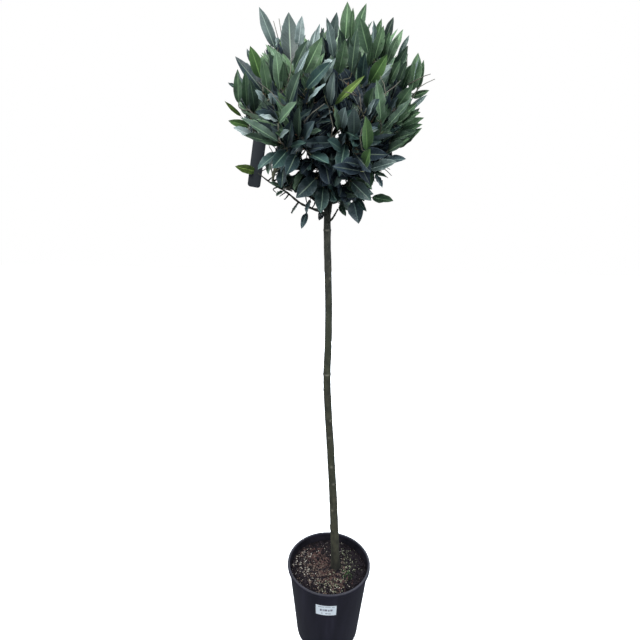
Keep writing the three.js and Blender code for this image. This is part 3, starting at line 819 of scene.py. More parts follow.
class Kept:
    """The leaves placed so far, each as two triangles, so that a new one can be kept off them."""

    ROOM = 6000
    REACH = 0.1

    def __init__(self):
        self.corners = np.zeros((self.ROOM, 4, 3))
        self.middles = np.zeros((self.ROOM, 3))
        self.count = 0

    def add(self, corners):
        self.corners[self.count] = corners
        self.middles[self.count] = corners.mean(axis=0)
        self.count += 1

    def crossed_by(self, corners):
        gaps = np.linalg.norm(self.middles[:self.count] - corners.mean(axis=0), axis=1)
        near = np.nonzero(gaps < self.REACH)[0]
        if len(near) == 0:
            return False
        others = self.corners[near]
        return bool(cut_by(edges_of(corners[None]), triangles_of(others))
                    or cut_by(edges_of(others), triangles_of(corners[None])))


def leaf_corners(leaf):
    """Root, widest point of each side and tip of a leaf, a little inside its edge."""
    along = leaf["along"] * leaf["length"]
    middle = leaf["base"] + along * LEAF_WIDEST
    half = leaf["width"] * 0.42
    side = np.cross(leaf["along"], leaf["face"]) * half
    lift = leaf["face"] * half * 0.16
    return np.array((leaf["base"] + along * 0.04, middle - side + lift, middle + side + lift,
                     leaf["base"] + along * 0.94))


def edges_of(corners):
    """The five edges of each two-triangle leaf, as start and end points."""
    starts = corners[:, (0, 1, 3, 2, 0)].reshape(-1, 3)
    ends = corners[:, (1, 3, 2, 0, 3)].reshape(-1, 3)
    return starts, ends


def triangles_of(corners):
    return corners[:, ((0, 1, 3), (0, 3, 2))].reshape(-1, 3, 3)


def cut_by(edges, triangles):
    """True where one of the edges goes through one of the triangles."""
    starts, ends = edges
    origin = starts[:, None, :]
    way = (ends - starts)[:, None, :]
    first = triangles[None, :, 1] - triangles[None, :, 0]
    second = triangles[None, :, 2] - triangles[None, :, 0]
    across = np.cross(way, second)
    size = np.sum(first * across, axis=2)
    size = np.where(np.abs(size) < 1e-14, 1e-14, size)
    offset = origin - triangles[None, :, 0]
    u = np.sum(offset * across, axis=2) / size
    turned = np.cross(offset, first)
    v = np.sum(way * turned, axis=2) / size
    t = np.sum(second * turned, axis=2) / size
    return np.any((u > 0) & (v > 0) & (u + v < 1) & (t > 0) & (t < 1))


SAMPLE_SHARES = np.array((0.1, 0.3, 0.5, 0.7, 0.85, 1.0))[:, None]


def leaf_samples(leaf):
    """Places along a leaf's midrib and edges."""
    side = np.cross(leaf["along"], leaf["face"]) * leaf["width"] * 0.4
    spine = leaf["base"] + leaf["along"] * leaf["length"] * SAMPLE_SHARES
    return np.concatenate((spine, spine[1:4] + side, spine[1:4] - side))


OUTLINE_CORNERS = np.array(OUTLINE, float)
GAP_SPOTS = np.array(SKY_GAPS, float)
HOLLOW_SPOTS = np.array(HOLLOWS, float)


def inside_outline(seen):
    """True where all of these pixels are inside the head's outline."""
    x, y = seen[:, None, 0], seen[:, None, 1]
    first, second = OUTLINE_CORNERS, np.roll(OUTLINE_CORNERS, -1, axis=0)
    spans = (first[:, 1] > y) != (second[:, 1] > y)
    rise = np.where(second[:, 1] == first[:, 1], 1e-9, second[:, 1] - first[:, 1])
    crossing = first[:, 0] + (y - first[:, 1]) / rise * (second[:, 0] - first[:, 0])
    return np.all(np.sum(spans & (x < crossing), axis=1) % 2 == 1)


def over_spots(seen, spots, margin):
    """Which of these pixels lie in one of the round spots, or in the margin round it."""
    gaps = np.hypot(seen[:, None, 0] - spots[:, 0], seen[:, None, 1] - spots[:, 1])
    return (gaps < spots[:, 2] + margin).any(axis=1)


STEM_LEVELS = np.linspace(1.3, STEM[-1, 0], 180)
STEM_TABLE = np.array([(*stem_at(z)[0][:2], stem_at(z)[1]) for z in STEM_LEVELS])


def clear_of_stem(samples):
    """True where a leaf keeps off the stem."""
    x, y, radius = (np.interp(samples[:, 2], STEM_LEVELS, STEM_TABLE[:, k]) for k in range(3))
    gap = np.hypot(samples[:, 0] - x, samples[:, 1] - y)
    return np.all((gap > radius + STEM_CLEARANCE) | (samples[:, 2] > STEM[-1, 0] + 0.01))


def ball_front(places):
    """How far along Y the near side of the head's ball lies, in line with these places."""
    across, up = places[..., 0] - HEAD_CENTRE[0], places[..., 2] - HEAD_CENTRE[2]
    return -np.sqrt(np.maximum(0, BALL**2 - across**2 - up**2))


def near_surface(seen):
    """How far along Y the head's near surface lies at these pixels."""
    rays = ray_through(seen[:, :1], seen[:, 1:])
    return ball_front(CAMERA_PLACE + rays * (-CAMERA_PLACE[1] / rays[:, 1:2])) * NEAR_SURFACE


def fills_hollow(samples, seen):
    """True where a leaf would close one of the dark openings between the near sprays."""
    shallow = samples[:, 1] < near_surface(seen) + HOLLOW_DEPTH
    return np.any(over_spots(seen, HOLLOW_SPOTS, 0) & shallow)


class Cover:
    """The leaves that the viewer sees in front, so that no other leaf hides them."""

    EDGE = 1.0
    ALONG = (0.08, 1.02)
    SLACK = 0.004

    def __init__(self):
        self.rows = []
        self.table = None

    def add(self, root, tip, wide):
        seen = pixels_of(np.array((root, tip)))
        self.rows.append((*seen[0], *seen[1], wide / 2 + self.EDGE, root[1], tip[1]))
        self.table = np.array(self.rows)

    def hidden_by(self, samples, seen):
        """True where a leaf would lie in front of one of them."""
        seen = seen[:, None, :]
        root, way = self.table[:, 0:2], self.table[:, 2:4] - self.table[:, 0:2]
        half, root_depth, tip_depth = self.table[:, 4], self.table[:, 5], self.table[:, 6]
        share = np.sum((seen - root) * way, axis=2) / np.sum(way * way, axis=1)
        inside = (share > self.ALONG[0]) & (share < self.ALONG[1])
        gap = np.linalg.norm(seen - root - np.clip(share, 0, 1)[..., None] * way, axis=2)
        depth = root_depth + (tip_depth - root_depth) * share
        reach = half * np.sin(np.pi * np.clip(share, 0.05, 0.95)) ** 0.6
        return np.any(inside & (gap < reach) & (samples[:, 1:2] < depth + self.SLACK))


# Leaf blades

BLADE_ROWS = 12
BLADE_COLUMNS = (-1.0, -0.55, -0.075, 0.075, 0.55, 1.0)
LEAVES_IN_PIECE = 800

# The range of chance in one blade: the fold at its midrib, the curl and the sideways sway of its tip as
# shares of its length, its twist, the waves along its edge and their height, and how uneven its width is
FOLD = (0.14, 0.48)
CURL = (-0.03, 0.17)
SWAY = (-0.07, 0.07)
TWIST = (-0.75, 0.75)
WAVES = (2.2, 4.0)
WAVE_HEIGHT = (0.0008, 0.0028)
UNEVENNESS = (0.02, 0.07)
UNEVEN_WAVES = (1.0, 2.2)
SHOWN_CALM = 0.36
GROOVE_DEPTH = 0.00025


def blade_faces():
    """Faces of a leaf's two sheets, which share their edge, and the material of each face."""
    columns = len(BLADE_COLUMNS)
    inner_rows, inner_columns = BLADE_ROWS - 2, columns - 2

    def under(i, j):
        if i in (0, BLADE_ROWS - 1) or j in (0, columns - 1):
            return i * columns + j
        return BLADE_ROWS * columns + (i - 1) * inner_columns + j - 1

    faces, kinds = [], []
    for i in range(BLADE_ROWS - 1):
        for j in range(columns - 1):
            corners = ((i, j), (i, j + 1), (i + 1, j + 1), (i + 1, j))
            rib = j == columns // 2 - 1
            faces.append([a * columns + b for a, b in corners])
            kinds.append(2 if rib else 0)
            faces.append([under(a, b) for a, b in reversed(corners)])
            kinds.append(2 if rib else 1)
    count = BLADE_ROWS * columns + inner_rows * inner_columns
    return np.array(faces), np.array(kinds), count


BLADE_FACES, BLADE_KINDS, BLADE_COUNT = blade_faces()
ROW_SHARES = 0.5 - 0.5 * np.cos(np.linspace(0, math.pi, BLADE_ROWS))
ROW_SHARES = 0.35 * ROW_SHARES + 0.65 * np.linspace(0, 1, BLADE_ROWS)


def width_profile(shares):
    """Half width of a leaf along its length, 1 at its widest, with an acute tip and a narrow base."""
    fullness = 0.72
    to_tip = fullness * (1 - LEAF_WIDEST) / LEAF_WIDEST
    profile = (np.maximum(shares, 1e-6) / LEAF_WIDEST) ** fullness
    profile = profile * (np.maximum(1 - shares, 1e-6) / (1 - LEAF_WIDEST)) ** to_tip
    pinch = 1 - 0.34 * np.exp(-(1 - shares) / 0.10)
    return np.maximum(profile * pinch, 0.02)


PROFILE = width_profile(ROW_SHARES)


def blade_places(leaf, rng):
    """Corners of one leaf, folded at its midrib, curled, twisted and wavy, and where each of them lies."""
    s = ROW_SHARES[:, None]
    u = np.array(BLADE_COLUMNS)[None, :]
    profile = PROFILE[:, None]
    length = leaf["length"]
    half = leaf["width"] / 2 * profile
    calm = SHOWN_CALM if leaf.get("shown") else 1.0
    fold = rng.uniform(*FOLD)
    curl = rng.uniform(*CURL) * calm
    sway = rng.uniform(*SWAY) * calm
    twist = rng.uniform(*TWIST) * (s - 0.2) * calm
    waves = rng.uniform(*WAVES)
    phase = rng.uniform(0, TURN)
    wave = rng.uniform(*WAVE_HEIGHT)
    uneven = rng.uniform(*UNEVENNESS)
    uneven = 1 + uneven * np.sin(TURN * rng.uniform(*UNEVEN_WAVES) * s + phase + 2 * np.sign(u))
    across = half * u * uneven + sway * length * s**2
    lift = fold * np.abs(half * u) - curl * length * s**2
    lift = lift + wave * np.abs(u) ** 1.5 * profile * np.sin(TURN * waves * s + phase + 1.1 * np.sign(u))
    groove = np.where(np.abs(u) < 0.2, -GROOVE_DEPTH, 0.0)
    level = np.cross(leaf["along"], leaf["face"])
    side = level * np.cos(twist)[..., None] + leaf["face"] * np.sin(twist)[..., None]
    face = leaf["face"] * np.cos(twist)[..., None] - level * np.sin(twist)[..., None]
    top = (leaf["base"] + leaf["along"] * (length * s)[..., None] + side * across[..., None]
           + face * (lift + groove)[..., None])
    thick = LEAF_THICKNESS * (1.15 - np.abs(u)) * (1 - 0.6 * s)
    under = (top - face * thick[..., None])[1:-1, 1:-1]
    marks = np.stack((np.abs(across), s * length + 0 * u, np.abs(u) + 0 * s), axis=2)
    places = np.concatenate((top.reshape(-1, 3), under.reshape(-1, 3)))
    marks = np.concatenate((marks.reshape(-1, 3), marks[1:-1, 1:-1].reshape(-1, 3)))
    return places, marks


# Materials. A noise pattern is given as scale, detail, roughness and stretch, and a ramp as positions with
# their colours.

# Painted shade at each leaf's base, where it lies under other leaves: its colour, and how far along the leaf
# it fades, in metres
PAINTED_BASE_SHADE = (0.42, 0.46, 0.46)
PAINTED_BASE_SHADE_END = 0.055
VEIN_SPACING = 0.0085
VEIN_LEAN = -0.9
VEIN_FROM = 0.80
VEIN_LIGHT = 0.38
MARGIN_FROM = 0.86
MARGIN_FULL = 0.98
LEAF_ROUGHNESS = 0.32
UNDERSIDE_ROUGHNESS = 0.50
UNDERSIDE_GLOSS = 0.7
BARK_TONES = (
    (0.32, (0.010, 0.010, 0.008)), (0.46, (0.036, 0.036, 0.023)), (0.60, (0.062, 0.060, 0.038)),
    (0.72, (0.115, 0.105, 0.072)),
)
ALGAE = (0.028, 0.042, 0.018)
LICHEN = (0.17, 0.165, 0.125)
SCAR = (0.20, 0.19, 0.15)
# Painted shade on the bark by height, as shares of two metres: dark at the ground inside the pot and
# blue-grey under the head
SHADE_HEIGHT = 2.0
BARK_PAINTED_SHADE = (
    (0.128, (0.26, 0.26, 0.29)), (0.150, (0.42, 0.42, 0.41)), (0.178, (0.56, 0.57, 0.53)),
    (0.205, (0.68, 0.69, 0.63)), (0.235, (0.54, 0.54, 0.50)), (0.50, (0.54, 0.56, 0.53)),
    (0.64, (0.46, 0.47, 0.52)), (0.72, (0.35, 0.39, 0.47)),
)
POT_TONES = ((0.35, (0.005, 0.0045, 0.009)), (0.62, (0.0095, 0.0085, 0.016)), (0.82, (0.018, 0.017, 0.028)))
COMPOST_TONES = (
    (0.30, (0.002, 0.002, 0.003)), (0.50, (0.006, 0.005, 0.006)), (0.66, (0.018, 0.013, 0.012)),
    (0.80, (0.050, 0.038, 0.032)),
)
FLOOR_TONES = ((0.3, (0.84, 0.85, 0.86)), (0.7, (0.88, 0.89, 0.90)))


def new_material(name, colour, roughness, specular=0.5):
    """A material with its shader and the values that are the same all over."""
    material = bpy.data.materials.new(name)
    material.use_nodes = True
    shader = material.node_tree.nodes["Principled BSDF"]
    shader.inputs["Base Color"].default_value = (*colour, 1)
    shader.inputs["Roughness"].default_value = roughness
    shader.inputs["Specular IOR Level"].default_value = specular
    return material, material.node_tree, shader


def add_node(tree, kind, inputs, **settings):
    """A node with its settings. Each of its inputs is an output to link or a plain value."""
    node = tree.nodes.new("ShaderNode" + kind)
    for name, value in settings.items():
        setattr(node, name, value)
    for name, value in inputs.items():
        if isinstance(value, bpy.types.NodeSocket):
            tree.links.new(value, node.inputs[name])
        else:
            node.inputs[name].default_value = value
    return node


def noise_pattern(tree, scale, detail=4.0, roughness=0.55, stretch=None):
    """A noise pattern fixed to the object, which may be stretched."""
    place = add_node(tree, "TexCoord", {}).outputs["Object"]
    if stretch:
        place = add_node(tree, "Mapping", {"Vector": place, "Scale": stretch}).outputs["Vector"]
    settings = {"Vector": place, "Scale": scale, "Detail": detail, "Roughness": roughness}
    return add_node(tree, "TexNoise", settings).outputs["Fac"]


def ramp(tree, value, stops):
    """Colours by value. Each stop is a position and a colour."""
    node = add_node(tree, "ValToRGB", {"Fac": value})
    elements = node.color_ramp.elements
    while len(elements) < len(stops):
        elements.new(0.5)
    for element, (position, colour) in zip(elements, stops):
        element.position = position
        element.color = (*colour, 1)
    return node.outputs["Color"]


def remap(tree, value, low, high, to_low=0.0, to_high=1.0, kind="LINEAR"):
    """A value carried over from one range to another."""
    ends = {"Value": value, "From Min": low, "From Max": high, "To Min": to_low, "To Max": to_high}
    return add_node(tree, "MapRange", ends, interpolation_type=kind).outputs["Result"]


def calculate(tree, operation, *values):
    return add_node(tree, "Math", dict(enumerate(values)), operation=operation).outputs[0]


def mix_colours(tree, factor, first, second, blend="MIX"):
    colours = {"Factor": factor, "A": first, "B": second}
    return add_node(tree, "Mix", colours, data_type="RGBA", blend_type=blend).outputs["Result"]


def add_bump(tree, shader, height, strength, distance, below=None):
    """Fine relief on a shader, on top of another one if that is given."""
    bump = add_node(tree, "Bump", {"Strength": strength, "Distance": distance, "Height": height})
    if below is not None:
        tree.links.new(below, bump.inputs["Normal"])
    tree.links.new(bump.outputs["Normal"], shader.inputs["Normal"])
    return bump.outputs["Normal"]


def scaled(colour, factor):
    return tuple(min(1.0, c * factor) for c in colour)


def mottled_material(name, colour, roughness, specular, mottle, tones, grain, strength, distance):
    """A material with mottled colours and a fine grain."""
    material, tree, shader = new_material(name, colour, roughness, specular)
    tree.links.new(ramp(tree, noise_pattern(tree, *mottle), tones), shader.inputs["Base Color"])
    add_bump(tree, shader, noise_pattern(tree, *grain), strength, distance)
    return material


def vein_pattern(tree):
    """Side veins at an angle to the midrib, the margin, and nearness to the base, which carries painted
    shade, by a leaf's coordinates.
    """
    blade = add_node(tree, "Attribute", {}, attribute_name="blade").outputs["Vector"]
    from_rib, from_base, to_margin = add_node(tree, "SeparateXYZ", {"Vector": blade}).outputs
    slant = calculate(tree, "MULTIPLY_ADD", from_rib, VEIN_LEAN, from_base)
    wave = calculate(tree, "SINE", calculate(tree, "MULTIPLY", slant, TURN / VEIN_SPACING))
    vein = remap(tree, wave, VEIN_FROM, 1.0)
    margin = remap(tree, to_margin, MARGIN_FROM, MARGIN_FULL)
    base = remap(tree, from_base, 0.0, PAINTED_BASE_SHADE_END, 1.0, 0.0, "SMOOTHSTEP")
    return vein, margin, base


def leaf_material(name, colour, roughness, specular):
    """A leathery leaf: mottled, with lighter veins and margin, and painted shade towards its base, where it
    lies under other leaves.
    """
    material, tree, shader = new_material(name, colour, roughness, specular)
    tones = ((0.32, scaled(colour, 0.70)), (0.68, scaled(colour, 1.24)))
    mottled = ramp(tree, noise_pattern(tree, 26.0), tones)
    vein, margin, base = vein_pattern(tree)
    light = calculate(tree, "MAXIMUM", calculate(tree, "MULTIPLY", vein, VEIN_LIGHT), margin)
    vein_colour = (*(1.5 * value + 0.014 for value in colour), 1)
    veined = mix_colours(tree, light, mottled, vein_colour)
    # Painted shade, darker towards the leaf's base
    painted_shade = mix_colours(tree, base, veined, (*PAINTED_BASE_SHADE, 1), "MULTIPLY")
    tree.links.new(painted_shade, shader.inputs["Base Color"])
    grain = add_bump(tree, shader, noise_pattern(tree, 260.0, 2.0), 0.25, 0.0004)
    add_bump(tree, shader, vein, 0.35, 0.0004, grain)
    return material


def rib_material(name, upper):
    """The midrib, a lighter green than its leaf."""
    colour = tuple(2.0 * value + extra for value, extra in zip(upper, (0.055, 0.065, 0.026)))
    tones = ((0.3, scaled(colour, 0.8)), (0.7, scaled(colour, 1.15)))
    return mottled_material(name, colour, 0.45, 0.5, (30.0, 2.0), tones, (300.0, 2.0), 0.2, 0.0003)


def twig_material(name, young, old):
    """Smooth young bark with a grain along the twig."""
    tones = ((0.35, old), (0.65, young))
    grain = (420.0, 4.0, 0.55, (1, 1, 0.35))
    return mottled_material(name, young, 0.6, 0.5, (22.0, 5.0), tones, grain, 0.45, 0.0006)


def bark_material():
    """Smooth olive-grey bark with a green bloom of algae, pale lichen specks, fine cracks and painted shade
    by height.
    """
    material, tree, shader = new_material("bark", (0.05, 0.05, 0.035), 0.78, 0.35)
    plain = ramp(tree, noise_pattern(tree, 60.0, 6.0, 0.66, (1, 1, 0.55)), BARK_TONES)
    bloom = remap(tree, noise_pattern(tree, 7.0, stretch=(1, 1, 0.5)), 0.48, 0.70, to_high=0.65)
    green = mix_colours(tree, bloom, plain, (*ALGAE, 1))
    specks = ramp(tree, noise_pattern(tree, 170.0, 3.0), ((0.66, (0, 0, 0)), (0.74, (1, 1, 1))))
    pale = mix_colours(tree, specks, green, (*LICHEN, 1))
    place = add_node(tree, "TexCoord", {}).outputs["Object"]
    height = add_node(tree, "SeparateXYZ", {"Vector": place}).outputs["Z"]
    # Painted shade by height: dark at the ground inside the pot and blue-grey under the head
    painted_shade = ramp(tree, remap(tree, height, 0.0, SHADE_HEIGHT), BARK_PAINTED_SHADE)
    shaded_bark = mix_colours(tree, 1.0, pale, painted_shade, "MULTIPLY")
    scarred = add_node(tree, "Attribute", {}, attribute_name="scar").outputs["Fac"]
    marked = mix_colours(tree, scarred, shaded_bark, (*SCAR, 1))
    tree.links.new(marked, shader.inputs["Base Color"])
    fine = add_bump(tree, shader, noise_pattern(tree, 520.0, 4.0, stretch=(1, 1, 0.3)), 0.5, 0.0008)
    add_bump(tree, shader, noise_pattern(tree, 90.0, 5.0, stretch=(1, 1, 0.25)), 0.6, 0.0014, fine)
    return material


def pot_material():
    """Black recycled plastic with faint drips and dust."""
    material, tree, shader = new_material("pot_plastic", (0.016, 0.015, 0.022), 0.45, 0.27)
    streaks = noise_pattern(tree, 30.0, 4.0, 0.6, (1, 1, 0.06))
    tree.links.new(ramp(tree, streaks, POT_TONES), shader.inputs["Base Color"])
    worn = noise_pattern(tree, 12.0, 5.0, 0.6, (1, 1, 0.2))
    tree.links.new(remap(tree, worn, 0.0, 1.0, 0.34, 0.58), shader.inputs["Roughness"])
    fine = add_bump(tree, shader, noise_pattern(tree, 700.0, 2.0), 0.10, 0.0004)
    add_bump(tree, shader, noise_pattern(tree, 40.0, 3.0, stretch=(1, 1, 0.08)), 0.18, 0.0010, fine)
    return material


def compost_material():
    """Dark loose compost."""
    return mottled_material("compost", (0.05, 0.036, 0.028), 0.95, 0.05, (130.0, 8.0, 0.7), COMPOST_TONES,
                            (320.0, 6.0, 0.7), 0.9, 0.002)


def speck_material(name, dark, light, roughness=0.85, scale=180.0):
    """Dull matter with two tones, such as chips and grit."""
    tones = ((0.35, dark), (0.65, light))
    return mottled_material(name, light, roughness, 0.12, (scale, 4.0), tones, (600.0, 3.0), 0.5, 0.0006)


def film_material(name, colour, roughness, specular=0.5):
    """Film or card with a faint sheen and handling marks."""
    tones = ((0.3, scaled(colour, 0.86)), (0.7, scaled(colour, 1.06)))
    return mottled_material(name, colour, roughness, specular, (26.0, 5.0), tones, (60.0, 3.0), 0.15, 0.0006)


def floor_material():
    """A pale floor that glows a little, so that it stays as light as the backdrop."""
    material, tree, shader = new_material("pale_floor", (0.86, 0.87, 0.88), 0.7)
    tree.links.new(ramp(tree, noise_pattern(tree, 3.0, 6.0), FLOOR_TONES), shader.inputs["Base Color"])
    shader.inputs["Emission Color"].default_value = (1, 1, 1, 1)
    shader.inputs["Emission Strength"].default_value = 0.7
    return material


# Pieces


def finish_piece(piece, slot, *nodes):
    """Says what a finished piece rides on and which nodes it replaces. The slot is not used."""
    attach(piece, "root")
    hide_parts(*nodes)


def wall_radius(z):
    """Outer radius of the pot's wall at a height."""
    return BASE_RADIUS + (LIP_RADIUS - LIP_OVERHANG - BASE_RADIUS) * z / (POT_HEIGHT - LIP_DEPTH)


def arc(centre_r, centre_z, radius, start, end, steps):
    """Points of a round corner, as radius and height."""
    angles = np.radians(np.linspace(start, end, steps))
    return [(centre_r + radius * math.cos(a), centre_z + radius * math.sin(a)) for a in angles]


def lathe(outline, sides):
    """A closed shell turned round the Z axis from points that start and end on the axis."""
    shell = Shell()
    rings = outline[1:-1]
    angles = np.arange(sides) / sides * TURN
    places = [(r * math.cos(a), r * math.sin(a), z) for r, z in rings for a in angles]
    places += [(0, 0, outline[0][1]), (0, 0, outline[-1][1])]
    shell.add(places, tube_faces(len(rings), sides))
    return shell


def pot_outline():
    """The pot's profile as radius and height, from the middle of its underside round to its floor inside."""
    under = POT_HEIGHT - LIP_DEPTH
    wall_top = wall_radius(under)
    lip_inside = wall_radius(POT_HEIGHT) - WALL
    outline = [(0, 0.0016), (0.060, 0.0012), (BASE_RADIUS - 0.012, 0.0004), (BASE_RADIUS - 0.009, 0.0)]
    outline += arc(BASE_RADIUS - BASE_CHAMFER, BASE_CHAMFER, BASE_CHAMFER, -88, -6, 6)
    outline += [(wall_radius(z), z) for z in np.linspace(0.008, under - 0.006, 26)]
    outline += [(wall_top + 0.0004, under - 0.002), (wall_top + 0.0018, under - 0.0004)]
    outline += arc(LIP_RADIUS - LIP_BEAD, under + LIP_BEAD, LIP_BEAD, -80, 0, 5)
    outline += [(LIP_RADIUS - 0.0004, POT_HEIGHT - LIP_DEPTH / 2)]
    outline += arc(LIP_RADIUS - LIP_BEAD, POT_HEIGHT - LIP_BEAD, LIP_BEAD, 5, 90, 6)
    outline += arc(lip_inside + LIP_EDGE, POT_HEIGHT - LIP_EDGE, LIP_EDGE, 90, 178, 5)
    outline += [(wall_radius(z) - WALL, z) for z in np.linspace(POT_HEIGHT - 0.006, 0.008, 20)]
    floor = WALL + 0.0004
    return outline + [(wall_radius(0.004) - WALL - 0.003, WALL + 0.0008), (0.07, floor), (0, floor)]


def drill_drain_holes(pot):
    drills = Shell()
    for i in range(DRAIN_HOLES):
        angle = (i + 0.5) / DRAIN_HOLES * TURN
        x, y = DRAIN_RING * math.cos(angle), DRAIN_RING * math.sin(angle)
        add_tube(drills, [(x, y, -0.004), (x, y, 0.002), (x, y, 0.008)], [DRAIN_RADIUS] * 3, 24)
    drill = drills.piece("drill", [])
    cut = pot.modifiers.new("drain holes", "BOOLEAN")
    cut.operation = "DIFFERENCE"
    cut.solver = "EXACT"
    cut.object = drill
    bpy.context.view_layer.update()
    mesh = bpy.data.meshes.new_from_object(pot.evaluated_get(bpy.context.evaluated_depsgraph_get()))
    pot.modifiers.clear()
    pot.data = mesh
    bpy.data.objects.remove(drill)


def make_pot():
    pot = lathe(pot_outline(), POT_SIDES).piece("pot_shell", [pot_material()])
    drill_drain_holes(pot)
    sharpen(pot, math.radians(40))
    # The inside wall is a darker, duller plastic than the outside
    inside_plastic = speck_material("pot_inside", (0.003, 0.003, 0.005), (0.010, 0.009, 0.013), 0.6, 40.0)
    pot.data.materials.append(inside_plastic)
    for face in pot.data.polygons:
        inward = face.normal.x * face.center.x + face.normal.y * face.center.y < 0
        if inward and LIP_DEPTH < face.center.z < POT_HEIGHT - 0.004:
            face.material_index = 1
    finish_piece(pot, "pot_plastic", "pot")


def sharpen(piece, angle):
    """Smooth shading that stops at edges sharper than this."""
    mesh = piece.data
    mesh.polygons.foreach_set("use_smooth", np.ones(len(mesh.polygons), bool))
    mesh.set_sharp_from_angle(angle=angle)


def add_label_block(shell, left, right, low, high, inner, outer, steps):
    """A thin block wrapped on the pot's wall, its sides given from the label's lower left corner."""
    columns = np.linspace(left, right, steps + 1)
    places = []
    for rise in (inner, outer):
        for z in (low, high):
            level = LABEL_MIDDLE - LABEL_HEIGHT / 2 + z
            radius = wall_radius(level) + LABEL_GAP + rise
            for x in columns:
                angle = LABEL_AZIMUTH + (x - LABEL_WIDTH / 2) / wall_radius(LABEL_MIDDLE)
                places.append((radius * math.cos(angle), radius * math.sin(angle), level))
    n = steps + 1
    faces = []
    for i in range(steps):
        a, b = i, i + 1
        faces += [(2 * n + a, 2 * n + b, 3 * n + b, 3 * n + a), (a, n + a, n + b, b),
                  (n + a, 3 * n + a, 3 * n + b, n + b), (a, b, 2 * n + b, 2 * n + a)]
    faces += [(0, 2 * n, 3 * n, n), (steps, n + steps, 3 * n + steps, 2 * n + steps)]
    shell.add(places, faces)


def make_label():
    """A pale label with plain grey bars."""
    film = Shell()
    add_label_block(film, 0, LABEL_WIDTH, 0, LABEL_HEIGHT, 0, LABEL_THICKNESS, 24)
    paper = film_material("label_film", (0.56, 0.61, 0.65), 0.42)
    finish_piece(film.piece("pot_label_film", [paper], smooth=False), "label_film", "pot_label")
    bars = Shell()
    for left, right, low, high in LABEL_BARS:
        add_label_block(bars, left, right, low, high, LABEL_THICKNESS, LABEL_THICKNESS + BAR_THICKNESS, 6)
    grey = film_material("label_bars", (0.14, 0.14, 0.17), 0.5)
    finish_piece(bars.piece("pot_label_bars", [grey], smooth=False), "label_film", "pot_label")


def compost_radius(z):
    """Radius of the compost at a height, just clear of the pot's wall."""
    return wall_radius(z) - WALL - 0.0003


def ground_height(x, y):
    """Height of the compost's surface, with its clumps, its lumps and a dip on the right."""
    r = math.hypot(x, y)
    share = clamp((r - GROUND_RADIUS) / (compost_radius(GROUND_EDGE) - GROUND_RADIUS), 0, 1)
    level = GROUND + (GROUND_EDGE - GROUND) * share**1.6
    from_stem = math.hypot(x - STEM[0, 1], y - STEM[0, 2])
    calm = clamp((from_stem - 0.018) / 0.02, 0.25, 1)
    clumps = noise.fractal(Vector((x * 70, y * 70, 3.1)), 0.9, 2.1, 4) * 0.0022
    lumps = abs(noise.noise(Vector((x * 260, y * 260, 7.7)))) * 0.0022
    dip = math.exp(-(((x - 0.085) / 0.03) ** 2 + ((y - 0.045) / 0.05) ** 2)) * 0.006
    return level + (clumps + lumps) * calm - dip


def make_compost():
    """The compost's uneven surface, and its closed body down to the pot's floor."""
    rings, sides, floor = 90, 220, 0.0036
    edge = compost_radius(GROUND_EDGE)
    angles = [j / sides * TURN for j in range(sides)]
    places = []
    for i in range(rings):
        r = edge * (i + 1) / rings
        flat = [(r * math.cos(a), r * math.sin(a)) for a in angles]
        places += [(x, y, ground_height(x, y)) for x, y in flat]
    for z in (0.18, 0.10, floor):
        r = wall_radius(z) - WALL - 0.0006
        places += [(r * math.cos(a), r * math.sin(a), z) for a in angles]
    places += [(0, 0, ground_height(0, 0)), (0, 0, floor)]
    shell = Shell()
    shell.add(places, [face[::-1] for face in tube_faces(rings + 3, sides)])
    surface = shell.piece("compost_surface", [compost_material()])
    finish_piece(surface, "compost", "compost")
    sharpen(surface, math.radians(60))


def ground_spot(rng, centre, spread):
    """A random place on the compost, clear of the stem, near a centre where one is given."""
    while True:
        if centre is None:
            r, a = LITTER_RADIUS * math.sqrt(rng.random()), rng.uniform(0, TURN)
            x, y = r * math.cos(a), r * math.sin(a)
        else:
            x, y = rng.gauss(centre[0], spread), rng.gauss(centre[1], spread)
        if math.hypot(x, y) < LITTER_RADIUS and math.hypot(x - STEM[0, 1], y) > STEM[0, 3] + 0.001:
            return x, y


CHIP_FACES = np.array([(0, 1, 3, 2), (4, 6, 7, 5), (0, 4, 5, 1), (2, 3, 7, 6), (0, 2, 6, 4), (1, 5, 7, 3)])


def add_chip(shell, rng, x, y, size, flat):
    """An irregular splinter that lies on the compost."""
    turn = Matrix.Rotation(rng.uniform(0, TURN), 3, "Z")
    tip = Matrix.Rotation(rng.uniform(-0.5, 0.5), 3, "X") @ Matrix.Rotation(rng.uniform(-0.4, 0.4), 3, "Y")
    half = (size * rng.uniform(0.6, 1.2), size * rng.uniform(0.3, 0.6), size * flat * rng.uniform(0.6, 1.2))
    middle = Vector((x, y, ground_height(x, y) + half[2] * 0.3))
    places = []
    for c in range(8):
        corner = Vector([half[k] * (1 if c >> k & 1 else -1) * rng.uniform(0.55, 1.15) for k in range(3)])
        places.append(middle + turn @ tip @ corner)
    shell.add(places, CHIP_FACES)


